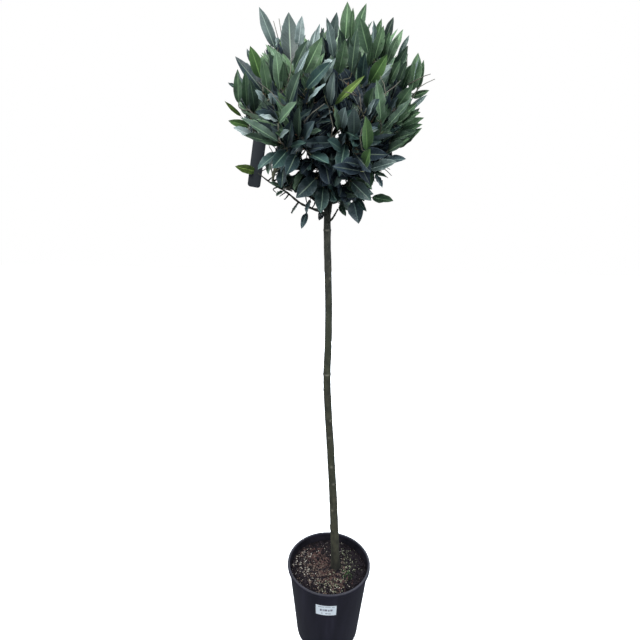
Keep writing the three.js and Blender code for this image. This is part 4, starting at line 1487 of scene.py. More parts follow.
# A round stone with twelve corners
GOLDEN = (1 + math.sqrt(5)) / 2
PEBBLE_CORNERS = [Vector(corner).normalized() for corner in (
    (-1, GOLDEN, 0), (1, GOLDEN, 0), (-1, -GOLDEN, 0), (1, -GOLDEN, 0), (0, -1, GOLDEN), (0, 1, GOLDEN),
    (0, -1, -GOLDEN), (0, 1, -GOLDEN), (GOLDEN, 0, -1), (GOLDEN, 0, 1), (-GOLDEN, 0, -1), (-GOLDEN, 0, 1),
)]
PEBBLE_FACES = np.array((
    (0, 11, 5), (0, 5, 1), (0, 1, 7), (0, 7, 10), (0, 10, 11), (1, 5, 9), (5, 11, 4), (11, 10, 2),
    (10, 7, 6), (7, 1, 8), (3, 9, 4), (3, 4, 2), (3, 2, 6), (3, 6, 8), (3, 8, 9), (4, 9, 5), (2, 4, 11),
    (6, 2, 10), (8, 6, 7), (9, 8, 1),
))


def add_pebble(shell, rng, x, y, size):
    """An uneven small stone."""
    scale = Vector([size * rng.uniform(least, most) for least, most in ((0.7, 1.2), (0.6, 1.0), (0.5, 0.8))])
    turn = Matrix.Rotation(rng.uniform(0, TURN), 3, "Z")
    middle = Vector((x, y, ground_height(x, y) + scale.z * 0.35))
    places = []
    for c in PEBBLE_CORNERS:
        places.append(middle + turn @ Vector([c[k] * scale[k] * rng.uniform(0.8, 1.1) for k in range(3)]))
    shell.add(places, PEBBLE_FACES)


# The litter's pieces, with the darkest and the lightest colour of each
LITTER_COLOURS = {
    "dark_chips": ((0.002, 0.0015, 0.003), (0.014, 0.010, 0.012)),
    "brown_chips": ((0.022, 0.015, 0.013), (0.120, 0.088, 0.070)),
    "red_chips": ((0.016, 0.008, 0.008), (0.078, 0.044, 0.038)),
    "pale_grit": ((0.14, 0.125, 0.10), (0.46, 0.43, 0.37)),
    "green_grit": ((0.05, 0.055, 0.034), (0.24, 0.25, 0.17)),
    "moss": ((0.014, 0.040, 0.010), (0.045, 0.100, 0.028)),
}
# How the litter lies: the piece, how many, the middles of its patches in pixels (none where it lies all
# over), their spread, the smallest and the largest size, and how flat a chip is (none for a stone)
LITTER = (
    ("dark_chips", 1100, (), 0, 0.0018, 0.0058, 0.45),
    ("dark_chips", 420, ((362, 578), (358, 556), (300, 590)), 0.020, 0.002, 0.0060, 0.5),
    ("brown_chips", 620, ((320, 572),), 0.045, 0.0014, 0.0042, 0.45),
    ("red_chips", 380, ((314, 554), (322, 563), (325, 575), (340, 582)), 0.018, 0.0020, 0.0052, 0.42),
    ("pale_grit", 330, ((302, 562), (307, 571), (313, 578), (326, 586), (305, 555)), 0.024,
     0.0008, 0.0024, None),
    ("pale_grit", 260, (), 0, 0.0007, 0.0020, None),
    ("green_grit", 520, ((326, 584), (334, 589), (349, 554), (351, 563), (348, 570), (338, 580)), 0.015,
     0.0009, 0.0028, None),
)
MOSS_TUFTS = 260
MOSS_PATCH = (348.5, 575)
MOSS_SPREAD = 0.0085


def grow_moss(shell, rng):
    """Short leaning tufts in one patch."""
    patch = place_at_height(*MOSS_PATCH, GROUND)
    for _ in range(MOSS_TUFTS):
        x, y = ground_spot(rng, patch, MOSS_SPREAD)
        foot = np.array((x, y, ground_height(x, y) - 0.0005))
        lean = np.array((rng.uniform(-0.9, 0.9), rng.uniform(-0.9, 0.9), 1.0))
        line = [foot, foot + lean * 0.0013, foot + lean * rng.uniform(0.0020, 0.0038)]
        add_tube(shell, line, [0.0005, 0.0006, 0.0002], 5)


def make_litter():
    """Bark chips, grit and moss on the compost, in patches as the viewer sees them."""
    rng = random.Random(11)
    shells = {name: Shell() for name in LITTER_COLOURS}
    for name, count, patches, spread, smallest, largest, flat in LITTER:
        middles = [place_at_height(x, y, GROUND) for x, y in patches] or [None]
        for _ in range(count):
            middle = rng.choice(middles) if len(middles) > 1 else middles[0]
            x, y = ground_spot(rng, middle, spread)
            size = rng.uniform(smallest, largest)
            if flat is None:
                add_pebble(shells[name], rng, x, y, size)
            else:
                add_chip(shells[name], rng, x, y, size, flat)
    grow_moss(shells["moss"], rng)
    for name, (dark, light) in LITTER_COLOURS.items():
        piece_name = "compost_" + name
        look = speck_material(piece_name + "_look", dark, light)
        finish_piece(shells[name].piece(piece_name, [look], smooth=name == "moss"), "compost", "compost")


# Marks on the stem: the picture's row, azimuth in degrees, and how far and how wide each stands out
STEM_KNOTS = (
    (278, 300, 0.0014, 0.0045), (419, 300, 0.0022, 0.006), (465, 268, 0.0012, 0.006),
    (527, 190, 0.0026, 0.007), (343, 352, -0.0020, 0.0045), (482, 285, 0.0012, 0.006),
    (330, 60, 0.0014, 0.007), (500, 120, 0.0016, 0.007), (390, 160, 0.0012, 0.006),
    (436, 255, 0.0008, 0.004), (508, 250, 0.0012, 0.005),
)
KNOT_REACH = 6
KNOT_MARK = 0.42
RING_MARK = 0.75
BARK_THICKNESS = 0.0008
STEM_SIDES = 44

# Rings round the stem, and the stub of an old twig on its left, by height in picture pixels
STEM_RINGS = (230, 374)
STUB_ROW = 527
STUB_WAY = (190, 32)
STUB_LINE = (0.006, 0.012, 0.0165, 0.0172)
STUB_RADII = (0.0046, 0.0036, 0.0034, 0.0026)

# Twig stumps on the bare low left bough: share of its length, direction and length
STUMPS = (
    (0.30, (-0.25, 0.10, -0.9), 0.026), (0.34, (0.35, -0.3, 0.85), 0.012), (0.56, (-0.55, 0.2, -0.8), 0.016),
    (0.47, (0.1, -0.5, 0.8), 0.009),
)


def height_seen_at(row):
    """The height on the stem that is seen at this row of the picture."""
    low, high = STEM[0, 0], STEM[-1, 0]
    for _ in range(30):
        middle = (low + high) / 2
        if pixels_of(stem_at(middle)[0])[0][1] > row:
            low = middle
        else:
            high = middle
    return (low + high) / 2


def bark_relief(x, y, z, size):
    """How far the bark stands out: soft lumps, long shallow cracks and a fine grain."""
    lumps = noise.noise(Vector((x * 55, y * 55, z * 24))) * 0.00045
    cracks = -abs(noise.noise(Vector((x * 240, y * 240, z * 42)))) * 0.0008
    grain = noise.noise(Vector((x * 700, y * 700, z * 260))) * 0.00016
    return (lumps + cracks + grain) * size


def bark_ring(z, knots, rings):
    """The stem's radii all round at a height, with bark, rings and knots, and how scarred each place is."""
    middle, radius = stem_at(z)
    flare = math.exp(-(z - STEM[0, 0]) / 0.014)
    nearest = min(abs(z - ring) for ring in rings)
    ridge = 0.0009 * math.exp(-((nearest / 0.0018) ** 2)) + 0.0005 * math.exp(-((nearest / 0.009) ** 2))
    radii, marks = [], []
    for j in range(STEM_SIDES):
        a = j / STEM_SIDES * TURN
        x, y = middle[0] + radius * math.cos(a), middle[1] + radius * math.sin(a)
        r = radius + BARK_THICKNESS + bark_relief(x, y, z, clamp(radius / 0.009, 0.5, 1.3)) + ridge
        r += flare * 0.0016 * math.sin(4 * a + 0.7) + flare * 0.0010 * math.sin(7 * a)
        facing = 0.5 + 0.5 * math.sin(3 * a + nearest * 40)
        mark = RING_MARK * facing * math.exp(-((nearest / 0.0016) ** 2))
        for knot_z, knot_a, rise, size in knots:
            off = ((z - knot_z) / size) ** 2 + ((math.remainder(a - knot_a, TURN) * radius) / size) ** 2
            if off < KNOT_REACH:
                r += rise * math.exp(-off) - 0.35 * rise * math.exp(-off * 6)
                mark = max(mark, KNOT_MARK * math.exp(-off * 2.5))
        radii.append(r)
        marks.append(mark)
    return radii, marks


def add_stem(shell):
    """The stem, with level rings, so that its foot is a flat cut. Gives back how scarred each place is."""
    foot, top = STEM[0, 0], STEM[-1, 0]
    lower = np.arange(foot, foot + 0.05, 0.0012)
    heights = np.concatenate((lower, np.arange(foot + 0.05, top, 0.0024), (top,)))
    knots = [(height_seen_at(row), math.radians(a), rise, size) for row, a, rise, size in STEM_KNOTS]
    rings = [height_seen_at(row) for row in STEM_RINGS]
    points = np.array([stem_at(z)[0] for z in heights])
    radii, marks = zip(*(bark_ring(z, knots, rings) for z in heights))
    angles = np.arange(STEM_SIDES) / STEM_SIDES * TURN
    ring = np.stack((np.cos(angles), np.sin(angles), 0 * angles), axis=1)
    places = points[:, None, :] + ring[None] * np.array(radii)[:, :, None]
    places = np.concatenate((places.reshape(-1, 3), points[:1], points[-1:]))
    shell.add(places, tube_faces(len(points), STEM_SIDES))
    return np.ravel(marks)


def make_stem_and_boughs():
    shell = Shell()
    stem_marks = add_stem(shell)
    stub_at = stem_at(height_seen_at(STUB_ROW))[0]
    add_tube(shell, [stub_at + direction(*STUB_WAY) * d for d in STUB_LINE], STUB_RADII, 14)
    for mass in masses:
        if mass["bough"] is not None:
            add_bough(shell, mass["bough"])
        if mass["name"] == "low_left":
            add_stumps(shell, mass["bough"])
    add_bare_limbs(shell)
    wood = shell.piece("stem_and_boughs", [bark_material()])
    marks = np.zeros(len(wood.data.vertices), np.float32)
    marks[:len(stem_marks)] = stem_marks
    wood.data.attributes.new("scar", "FLOAT", "POINT").data.foreach_set("value", marks)
    finish_piece(wood, "bark", "trunk", *BOUGH_NODES)


def add_bough(shell, curve):
    """One tapering limb with a swollen foot and fine relief."""
    sides = 14
    shares = np.linspace(0, 1, max(12, int(curve.length / 0.0035)))
    points = curve.points(shares)
    radii = []
    for share, (x, y, z) in zip(shares, points):
        radius = BOUGH_FOOT + (BOUGH_TIP - BOUGH_FOOT) * min(1, share * 1.1)
        swell = 0.0022 * math.exp(-share * curve.length / 0.009)
        knuckle = 0.0005 * max(0, math.sin(share * curve.length / 0.021 * TURN)) ** 8
        relief = [bark_relief(x + 0.01 * math.cos(k), y + 0.01 * math.sin(k), z, 0.55) for k in range(sides)]
        radii.append([radius + swell + knuckle + rise for rise in relief])
    add_tube(shell, points, radii, sides)


def add_stumps(shell, curve):
    """Short ends of old twigs on a bough."""
    for share, way, length in STUMPS:
        start = curve.point(share)
        way = unit(np.array(way))
        bend = unit(way + np.array((-0.3, 0.0, 0.25)))
        middle = start + way * length * 0.5
        add_tube(shell, [start, middle, middle + bend * length * 0.5], [0.0022, 0.0016, 0.0013], 8)


def limb_from_stem(corners):
    """A limb's line through its corners, which starts in the middle of the stem."""
    line = [place_at(x, y, LIMB_DEPTH) for x, y in corners]
    line[0] = stem_at(line[0][2])[0]
    return line


def add_bare_limbs(shell):
    """The leafless limb low on the left with its forks, and the thin one on the right."""
    add_limb(shell, limb_from_stem(BARE_LIMB), 0.0034, 0.0017)
    for fork in BARE_FORKS:
        line = [place_at(x, y, LIMB_DEPTH - 0.004 * k) for k, (x, y) in enumerate(fork)]
        add_limb(shell, line, 0.0018, 0.0010)
    add_limb(shell, limb_from_stem(THIN_LIMB), 0.0031, 0.0020)


def add_limb(shell, corners, foot_radius, tip_radius):
    """A knobbly limb along a smoothed line through its corners."""
    line = np.array(corners)
    for _ in range(2):
        quarter, last = line[:-1] * 0.75 + line[1:] * 0.25, line[:-1] * 0.25 + line[1:] * 0.75
        smoothed = np.stack((quarter, last), axis=1).reshape(-1, 3)[1:-1]
        line = np.concatenate((line[:1], smoothed, line[-1:]))
    steps = np.arange(len(line))
    radii = np.linspace(foot_radius, tip_radius, len(line)) * (1 + 0.16 * np.sin(steps * 2.3))
    add_tube(shell, line, radii, 9)


def tag_hook():
    """Where the tag hangs on the left bough, and the bough's direction there."""
    bough = next(mass for mass in masses if mass["name"] == "left")["bough"]
    before, tip = bough.point(0.75), bough.point(1)
    along = unit(tip - before)
    return tip - along * TAG_FROM_TIP, along


def tag_side():
    """The tag's side from its loop down, as distance from its middle and height."""
    half, strap = TAG_WIDTH / 2, TAG_STRAP_WIDTH / 2
    side = [(strap, -TAG_LOOP), (strap, -TAG_STRAP_LENGTH * 0.5), (strap, -TAG_STRAP_LENGTH)]
    for t in np.linspace(0.1, 1, 8):
        ease = t * t * (3 - 2 * t)
        side.append((strap + (half - strap) * ease, -TAG_STRAP_LENGTH - TAG_SHOULDER * t))
    shoulder, corner = -TAG_STRAP_LENGTH - TAG_SHOULDER, -TAG_LENGTH + TAG_CORNER
    side += [(half, z) for z in np.linspace(shoulder - 0.006, corner, 16)]
    for a in np.linspace(0.15, math.pi / 2, 8):
        side.append((half - TAG_CORNER + TAG_CORNER * math.cos(a), corner - TAG_CORNER * math.sin(a)))
    return side


def tag_faces(rows, n):
    """Faces of the tag's front and back, each of them rows of n points, and of the edges between them."""
    back = rows * n
    faces = []
    for i in range(rows - 1):
        left, right = i * n, i * n + n - 1
        for a in range(left, right):
            b = back + a
            faces += [(a, a + n, a + n + 1, a + 1), (b, b + 1, b + n + 1, b + n)]
        faces += [(left, back + left, back + left + n, left + n),
                  (right, right + n, back + right + n, back + right)]
    faces += [(a, a + 1, back + a + 1, back + a) for a in range(n - 1)]
    faces += [(a, back + a, back + a + 1, a + 1) for a in range(back - n, back - 1)]
    return faces


def add_tag_strip(shell, hook):
    """The tag itself, a little bowed and thinner at its edges."""
    side = tag_side()
    lean_out, lean_down = math.sin(TAG_LEAN), math.cos(TAG_LEAN)
    places = []
    for face in (-1, 1):
        for x, z in side:
            bow = TAG_BOW * math.sin(-z / TAG_LENGTH * math.pi)
            for c in TAG_COLUMNS:
                edge = 0.35 if abs(c) == 1 else 1.0
                y = face * TAG_THICKNESS / 2 * edge - bow * (1 - c * c)
                offset = (c * x * lean_down + z * lean_out, y, -c * x * lean_out + z * lean_down)
                places.append(hook + np.array(offset))
    shell.add(places, tag_faces(len(side), len(TAG_COLUMNS)))


def add_tag_loop(shell, hook, along):
    """The strap's loop round the bough."""
    first = unit(np.cross(along, UP))
    second = np.cross(along, first)
    half, sides = TAG_STRAP_WIDTH / 2, 32
    angles = [k / sides * TURN for k in range(sides)]
    ways = [first * math.cos(a) + second * math.sin(a) for a in angles]
    places = []
    for width in (-half, half):
        for radius in (TAG_LOOP, TAG_LOOP + TAG_THICKNESS):
            places += [hook + along * width + way * radius for way in ways]
    a, b, c, d = 0, sides, 2 * sides, 3 * sides
    faces = []
    for k in range(sides):
        m = (k + 1) % sides
        faces += [(a + k, b + k, b + m, a + m), (c + k, c + m, d + m, d + k),
                  (b + k, d + k, d + m, b + m), (a + k, a + m, c + m, c + k)]
    shell.add(places, faces)


def make_tag():
    """A plain strip with round corners on a strap that loops over the bough."""
    hook, along = tag_hook()
    shell = Shell()
    add_tag_strip(shell, hook)
    add_tag_loop(shell, hook, along)
    tag = shell.piece("hanging_tag", [film_material("tag_plastic", (0.011, 0.014, 0.018), 0.5, 0.16)])
    sharpen(tag, math.radians(35))
    finish_piece(tag, "tag_plastic", "plant_tag")


# Foliage

# Tints of whole sprays by where they are in the head: the low ones take mostly dark tints as painted shade,
# and the top ones take the haze tint as a painted sky sheen
TINT_CHOICES = {
    "top_left": (("haze", 0.22), ("light", 0.30), ("mid", 0.28), ("bright", 0.14), ("slate", 0.06)),
    "top_right": (("light", 0.30), ("mid", 0.36), ("dark", 0.08), ("bright", 0.18), ("haze", 0.08)),
    "middle": (("dark", 0.16), ("mid", 0.36), ("teal", 0.14), ("slate", 0.16), ("light", 0.18)),
    "low": (("teal", 0.40), ("dark", 0.30), ("slate", 0.14), ("mid", 0.16)),
}


# How far inside the head a leaf has to be to take the deepest tint and the dark one, which are painted shade,
# and the share of inner leaves that take the deepest
DEEP_BELOW = 0.115
DARK_BELOW = 0.082
DEEP_SHARE = 0.55
HIGH_ABOVE = HEAD_CENTRE[2] - 0.08
WOBBLE = 0.0006


def spray_tint(shoot, rng):
    """The tint of a whole spray, by where it is in the head, with painted shade low down and painted sky
    sheen on top.
    """
    x, _, z = shoot["place"]
    where = "low" if z < -0.25 else "middle" if z < 0.25 else "top_left" if x < 0 else "top_right"
    tints, shares = zip(*TINT_CHOICES[where])
    return rng.choices(tints, shares)[0]


def shaded(tint, leaf, shoot):
    """The spray's tint, or a darker one as painted shade for a leaf that sits inside the head."""
    middle = leaf["base"] + leaf["along"] * leaf["length"] * 0.5
    below = shoot["reach"] - np.linalg.norm(middle - HEAD_CENTRE)
    if below > DEEP_BELOW:
        return "deep_shade"
    if below > DARK_BELOW:
        return "dark" if tint in ("bright", "haze", "mid") else "deep_shade"
    return tint


def dimmed(tint, samples, seen):
    """A darker tint as painted shade for a leaf in the dim heart of the near side or at the edge of a dark
    opening.
    """
    x, y, wide, high = DIM_HEART
    if samples[2][1] <= 0 and math.hypot((seen[2][0] - x) / wide, (seen[2][1] - y) / high) <= 1:
        tint = DIM_TINTS.get(tint, tint)
    if over_spots(seen[2:4], HOLLOW_SPOTS, HOLLOW_EDGE).any():
        tint = "deep_shade" if tint in ("dark", "teal", "slate", "deep_shade") else "dark"
    return tint


def shown_leaf(tip_x, tip_y, root_x, root_y, wide, tint, sunk):
    """A leaf placed by what the viewer sees of it: its tip lies on the head's near surface."""
    depth = 0.0
    for _ in range(3):
        tip = place_at(tip_x, tip_y, depth)
        depth = ball_front(tip) + sunk * 0.001
    high = tip[2] > HIGH_ABOVE
    root = place_at(root_x, root_y, depth)
    seen = np.linalg.norm(root - tip)
    length = max(seen, LEAF_LENGTH if high else LOW_LEAF_LENGTH * 0.95)
    hidden = math.sqrt(max(0, length**2 - seen**2))
    root = place_at(root_x, root_y, min(depth + hidden, 0.05))
    along = unit(tip - root)
    length = np.linalg.norm(tip - root)
    to_viewer = CAMERA_PLACE - (tip + root) / 2
    front = unit(to_viewer - along * np.dot(to_viewer, along))
    seen_width = wide * np.linalg.norm(to_viewer) / FOCAL_PIXELS
    slender = LEAF_SLENDERNESS if high else LOW_LEAF_SLENDERNESS
    width = max(seen_width, length * slender * (0.5 if wide < NARROW or tint == "young" else 0.85))
    angle = math.acos(clamp(seen_width / width, 0.1, 1))
    face = max([turned_about(front, along, angle * sign) for sign in (1, -1)], key=lambda way: way[2])
    return {"root": root, "base": root + along * PETIOLE, "along": along, "face": face,
            "length": length - PETIOLE, "width": width, "tint": tint, "shown": True}


def nearest_on(lines, place):
    """The nearest point of the wood to a place. A shoot that carries something there is kept that far."""
    best, found, carrier, share = 1e9, None, None, 0
    for points, shoot in lines:
        gaps = np.linalg.norm(points - place, axis=1)
        k = int(np.argmin(gaps))
        if gaps[k] < best:
            best, found, carrier, share = gaps[k], points[k], shoot, LINE_SHARES[k] if shoot else 0
    if carrier:
        carrier["last"] = max(carrier["last"], share)
    return found


def add_bud(shell, place, way, size):
    """A pointed bud at a shoot's tip."""
    points = [place + way * size * share for share in (-0.2, 0.25, 0.6, 1)]
    add_tube(shell, points, [size * share for share in (0.16, 0.24, 0.18, 0.03)], 7)


def add_shoot(shell, buds, shoot, tip_radius, wobble, sides):
    """A shoot's own wood, as far as its last leaf, with a bud where it reaches its tip."""
    end = min(1, shoot["last"] + 0.02)
    radii = shoot["foot_radius"] + (tip_radius - shoot["foot_radius"]) * np.linspace(0, end, len(wobble))
    add_tube(shell, shoot["curve"].points(np.linspace(0, end, len(wobble))) + wobble, radii, sides)
    if shoot["bud"] and end == 1:
        add_bud(buds, shoot["curve"].point(1), shoot["curve"].tangent(1), shoot["bud"])


def add_petiole(shell, leaf):
    """A leaf's short stalk, which dips a little."""
    root, along = leaf["root"], leaf["along"]
    dip = leaf["face"] * 0.0009
    middle, end = root + along * PETIOLE * 0.6 - dip, leaf["base"] + along * 0.010 - dip * 1.1
    add_tube(shell, [root - along * 0.001, middle, end], [PETIOLE_RADIUS * 1.3, PETIOLE_RADIUS, 0.0004], 5)


LINE_SHARES = np.linspace(0.1, 1, 12)
# The wood's pieces, with their material, its young and old colours, and the slot
WOOD_LOOKS = {
    "twigs": ("twig_bark", (0.062, 0.066, 0.035), (0.040, 0.032, 0.022), "bark"),
    "fine_twigs": ("young_twig", (0.085, 0.090, 0.062), (0.055, 0.045, 0.036), "bark"),
    "petioles": ("petiole", (0.130, 0.140, 0.060), (0.090, 0.064, 0.036), "foliage"),
    "buds": ("bud", (0.140, 0.100, 0.040), (0.110, 0.040, 0.022), "foliage"),
}


class Crown:
    """The head as it grows: its shoots, the lines that leaves can hang from, and the leaves so far."""

    def __init__(self):
        self.rng = random.Random(29)
        self.wood = {name: Shell() for name in WOOD_LOOKS}
        self.lines, self.shoots, self.sides, self.placed = [], [], [], []
        self.kept, self.cover = Kept(), Cover()

    def grow_shoots(self):
        """The masses' stems and their shoots, by the seeded rule of the tree's solids."""
        for i, mass in enumerate(masses):
            draw = seeded(SEED * len(masses) + i)
            stem_end = mass["begin"] + mass["heading"] * mass["stem"]
            stem = [mass["begin"] - mass["heading"] * 0.002, (mass["begin"] + stem_end) / 2, stem_end]
            add_tube(self.wood["twigs"], stem, [BOUGH_TIP, BOUGH_TIP * 0.94, BOUGH_TIP * 0.8], 10)
            if mass["bough"] is not None:
                self.lines.append((mass["bough"].points(np.linspace(0.5, 1, 8)), None))
            self.shoots += [grow_shoot(mass, place, draw) for place in shoot_places(mass)]
        self.lines += [(shoot["curve"].points(LINE_SHARES), shoot) for shoot in self.shoots]

    def keep_tag_in_view(self):
        hook = tag_hook()[0]
        foot = hook - direction(0, 90 - math.degrees(TAG_LEAN)) * TAG_LENGTH
        self.cover.add(hook, foot - UP * 0.01, TAG_SEEN_WIDTH)

    def show_leaf(self, row):
        """One of the leaves that the viewer sees, and a fine twig to it from the nearest wood."""
        leaf = shown_leaf(*row)
        root, along, wide = leaf["root"], leaf["along"], row[4]
        self.placed.append(leaf)
        self.kept.add(leaf_corners(leaf))
        self.cover.add(root, leaf["base"] + along * leaf["length"], wide)
        carrier = nearest_on(self.lines, root)
        span = np.linalg.norm(root - carrier)
        if span > 0.002:
            bend = unit(unit(root - carrier) + along * 0.8)
            curve = Curve(carrier, carrier + bend * span * 0.3, root - along * span * 0.35, root)
            points = curve.points(np.linspace(0, 1, 9))
            add_tube(self.wood["fine_twigs"], points, np.linspace(FINE_TWIG_FOOT, FINE_TWIG_TIP, 9), 6)
            self.lines.append((points, None))

    def has_room(self, leaf, samples, seen):
        """True where a leaf crosses and hides nothing and closes no opening."""
        if not inside_outline(seen) or over_spots(seen, GAP_SPOTS, SKY_MARGIN).any():
            return False
        if fills_hollow(samples, seen) or self.cover.hidden_by(samples, seen) or not clear_of_stem(samples):
            return False
        return not self.kept.crossed_by(leaf_corners(leaf))

    def fit(self, shoot, leaf, tint):
        """Places a leaf at the first try that has room, and says whether any has."""
        for attempt in TRIES:
            found = place_leaf(shoot, leaf, attempt)
            samples = leaf_samples(found)
            seen = pixels_of(samples)
            if self.has_room(found, samples, seen):
                self.kept.add(leaf_corners(found))
                found["tint"] = dimmed(shaded(tint, found, shoot), samples, seen)
                self.placed.append(found)
                shoot["last"] = max(shoot["last"], leaf["t"])
                return True
        return False

    def add_spray(self, shoot):
        """A shoot's leaves, all in one tint. Returns how many of them had room."""
        tint = spray_tint(shoot, self.rng)
        return sum(self.fit(shoot, leaf, tint) for leaf in shoot["leaves"])

    def grow_leaves(self):
        """Leaves on the shoots, then on the finer side shoots, then the older ones inside."""
        for shoot in self.shoots:
            grown = self.add_spray(shoot)
            wobble = [[self.rng.uniform(-WOBBLE, WOBBLE) for _ in range(3)] for _ in range(12)]
            shoot["wobble"] = np.array(wobble)
            shoot["wobble"][0] = 0
            shoot["bud"] = self.rng.uniform(0.006, 0.009) if grown else 0
        draw = random.Random(53).random
        self.sides = [side_shoot(shoot, k, draw) for shoot in self.shoots for k in range(SIDE_SHOOTS)]
        for side in self.sides:
            side["bud"] = self.rng.uniform(0.004, 0.007) if self.add_spray(side) else 0
        # The older leaves inside take the deep tint or the dark one as painted shade
        for shoot in self.shoots + self.sides:
            for leaf in inner_leaves(shoot, draw):
                self.fit(shoot, leaf, "deep_shade" if self.rng.random() < DEEP_SHARE else "dark")

    def add_bare_twigs(self):
        """Bare twig ends that stand out of the head, and light twigs between the near leaves."""
        for start_x, start_y, end_x, end_y in BARE_ENDS:
            start, end = place_at(start_x, start_y, TWIG_END_DEPTH), place_at(end_x, end_y, TWIG_END_DEPTH)
            carrier = nearest_on(self.lines, start)
            line = [carrier, (carrier + start) / 2 + UP * 0.002, start, (start + end) / 2 + UP * 0.0015, end]
            add_tube(self.wood["fine_twigs"], line, [0.0016, 0.0014, 0.0012, 0.0010, 0.0008], 6)
        for corners in SHOWN_TWIGS:
            near = near_surface(np.array(corners, float)) + TWIG_SUNK
            line = [place_at(x, y, depth) for (x, y), depth in zip(corners, near)]
            carrier = nearest_on(self.lines, line[0] + np.array((0.0, 0.03, 0.0)))
            line = [carrier, (carrier + line[0]) / 2, *line]
            add_tube(self.wood["fine_twigs"], line, [0.0015, 0.0014, 0.0012, 0.0010, 0.0007], 6)

    def add_wood(self):
        """The wood of each shoot that carries something, and the leaves' stalks."""
        for side in self.sides:
            if side["last"]:
                side["parent"]["last"] = max(side["parent"]["last"], side["leave_at"])
                straight = np.zeros((9, 3))
                add_shoot(self.wood["fine_twigs"], self.wood["buds"], side, FINE_TWIG_TIP, straight, 6)
        for shoot in self.shoots:
            if shoot["last"]:
                add_shoot(self.wood["twigs"], self.wood["buds"], shoot, TWIG_TIP, shoot["wobble"], 8)
        for leaf in self.placed:
            add_petiole(self.wood["petioles"], leaf)


def grow_foliage():
    """The whole head: its shoots, the leaves that the viewer sees, and all others that have room."""
    crown = Crown()
    crown.grow_shoots()
    crown.keep_tag_in_view()
    for row in SHOWN_LEAVES:
        crown.show_leaf(row)
    crown.grow_leaves()
    crown.add_bare_twigs()
    crown.add_wood()
    for name, (look, young, old, slot) in WOOD_LOOKS.items():
        piece = crown.wood[name].piece(name, [twig_material(look, young, old)])
        finish_piece(piece, slot, *LEAF_NODES)
    make_blades(crown.placed)


def make_blades(placed):
    """Joined pieces of blades for each tint, with an upper side, an underside and a midrib."""
    rng = np.random.default_rng(17)
    full = LEAVES_IN_PIECE * BLADE_COUNT
    parts = {tint: [] for tint in TINTS}
    for leaf in placed:
        pieces = parts[leaf["tint"]]
        if not pieces or pieces[-1][0].count == full:
            pieces.append((Shell(), []))
        shell, marks = pieces[-1]
        places, blade = blade_places(leaf, rng)
        shell.add(places, BLADE_FACES, BLADE_KINDS)
        marks.append(blade)
    for tint, pieces in parts.items():
        if not pieces:
            continue
        upper, under = TINTS[tint]
        gloss = GLOSS.get(tint, LEAF_GLOSS)
        materials = [
            leaf_material("leaf_" + tint, upper, LEAF_ROUGHNESS, gloss),
            leaf_material("leaf_under_" + tint, under, UNDERSIDE_ROUGHNESS, gloss * UNDERSIDE_GLOSS),
            rib_material("leaf_rib_" + tint, upper),
        ]
        for n, (shell, marks) in enumerate(pieces):
            name = "leaf_blades_" + tint + ("_more" * n)
            piece = shell.piece(name, materials)
            blade = piece.data.attributes.new("blade", "FLOAT_VECTOR", "POINT")
            blade.data.foreach_set("vector", np.concatenate(marks).astype(np.float32).ravel())
            keep_edges_sharp(piece.data, shell.count)
            finish_piece(piece, "foliage", *LEAF_NODES)


def keep_edges_sharp(mesh, count):
    """Marks each leaf's outer edge, where its two sheets meet."""
    columns = len(BLADE_COLUMNS)
    on_edge = np.zeros(BLADE_COUNT, bool)
    grid = on_edge[:BLADE_ROWS * columns].reshape(BLADE_ROWS, columns)
    grid[:, (0, -1)] = True
    grid[(0, -1), :] = True
    on_edge = np.tile(on_edge, count // BLADE_COUNT)
    ends = np.zeros(len(mesh.edges) * 2, np.int32)
    mesh.edges.foreach_get("vertices", ends)
    sharp = on_edge[ends.reshape(-1, 2)].all(axis=1)
    mesh.attributes.new("sharp_edge", "BOOLEAN", "EDGE").data.foreach_set("value", sharp)


# Floor, light and camera

FLOOR_HALF = 6.0

# Area lights, which all face the head: place, size, power and colour
LIGHT_TARGET = (-0.03, 0.0, 1.5)
LIGHTS = {
    "key": ((-1.1, -2.1, 3.1), 1.6, 103, (1.0, 0.99, 0.97)),
    "fill": ((2.2, -1.6, 2.4), 2.4, 46, (0.92, 0.96, 1.0)),
    "back": ((0.6, 2.2, 3.4), 1.8, 60, (0.92, 0.96, 1.0)),
}


def make_floor():
    """A wide pale floor that casts no light back on the object."""
    mesh = bpy.data.meshes.new("floor")
    corners = [(x * FLOOR_HALF, y * FLOOR_HALF, 0) for x, y in ((-1, -1), (1, -1), (1, 1), (-1, 1))]
    mesh.from_pydata(corners, [], [(0, 1, 2, 3)])
    mesh.materials.append(floor_material())
    floor = bpy.data.objects.new("floor", mesh)
    floor.visible_diffuse = False
    floor.visible_glossy = False
    bpy.context.scene.collection.objects.link(floor)


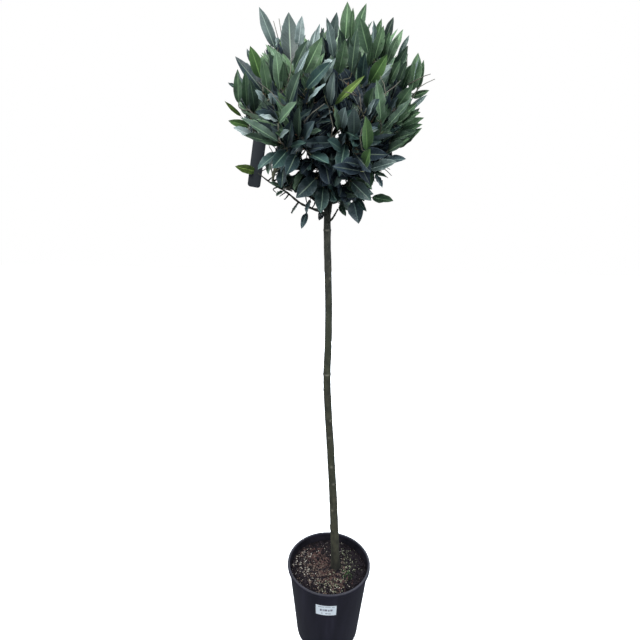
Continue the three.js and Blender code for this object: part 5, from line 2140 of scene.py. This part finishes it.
def make_light(name, place, size, power, colour):
    """A round soft light."""
    lamp = bpy.data.lights.new(name, "AREA")
    lamp.shape = "DISK"
    lamp.size = size
    lamp.energy = power
    lamp.color = colour
    light = bpy.data.objects.new(name, lamp)
    light.location = place
    light.rotation_euler = (Vector(LIGHT_TARGET) - Vector(place)).to_track_quat("-Z", "Y").to_euler()
    bpy.context.scene.collection.objects.link(light)


SKY_TONES = (
    (0.25, (0.10, 0.11, 0.12)), (0.46, (0.33, 0.36, 0.40)), (0.72, (0.62, 0.67, 0.72)),
    (1.0, (0.86, 0.92, 1.0)),
)
SKY_STRENGTH = 1.84


def soft_sky():
    """A white backdrop, which lights the scene as a cool sky that is bright above and dim below."""
    world = bpy.data.worlds.new("studio")
    world.use_nodes = True
    tree = world.node_tree
    way = add_node(tree, "TexCoord", {}).outputs["Generated"]
    level = remap(tree, add_node(tree, "SeparateXYZ", {"Vector": way}).outputs["Z"], -1.0, 1.0)
    sky = tree.nodes["Background"]
    tree.links.new(ramp(tree, level, SKY_TONES), sky.inputs["Color"])
    sky.inputs["Strength"].default_value = SKY_STRENGTH
    backdrop = add_node(tree, "Background", {"Color": (1, 1, 1, 1), "Strength": 1.0})
    seen = add_node(tree, "LightPath", {}).outputs["Is Camera Ray"]
    mix = add_node(tree, "MixShader", {0: seen, 1: sky.outputs[0], 2: backdrop.outputs[0]})
    tree.links.new(mix.outputs[0], tree.nodes["World Output"].inputs["Surface"])
    return world


def make_studio():
    """The floor, the lights and the sky."""
    make_floor()
    for name, settings in LIGHTS.items():
        make_light(name, *settings)
    bpy.context.scene.world = soft_sky()
    bpy.context.scene.view_settings.view_transform = "Standard"


def make_camera():
    lens = bpy.data.cameras.new("camera")
    lens.sensor_width = SENSOR
    lens.lens = LENS
    lens.clip_end = 50
    camera = bpy.data.objects.new("camera", lens)
    columns = np.column_stack((RIGHT, UPWARD, -AHEAD, CAMERA_PLACE))
    camera.matrix_world = Matrix([list(row) for row in columns] + [[0, 0, 0, 1]])
    bpy.context.scene.collection.objects.link(camera)
    bpy.context.scene.camera = camera


make_camera()
make_studio()
make_pot()
make_label()
make_compost()
make_litter()
make_stem_and_boughs()
make_tag()
grow_foliage()
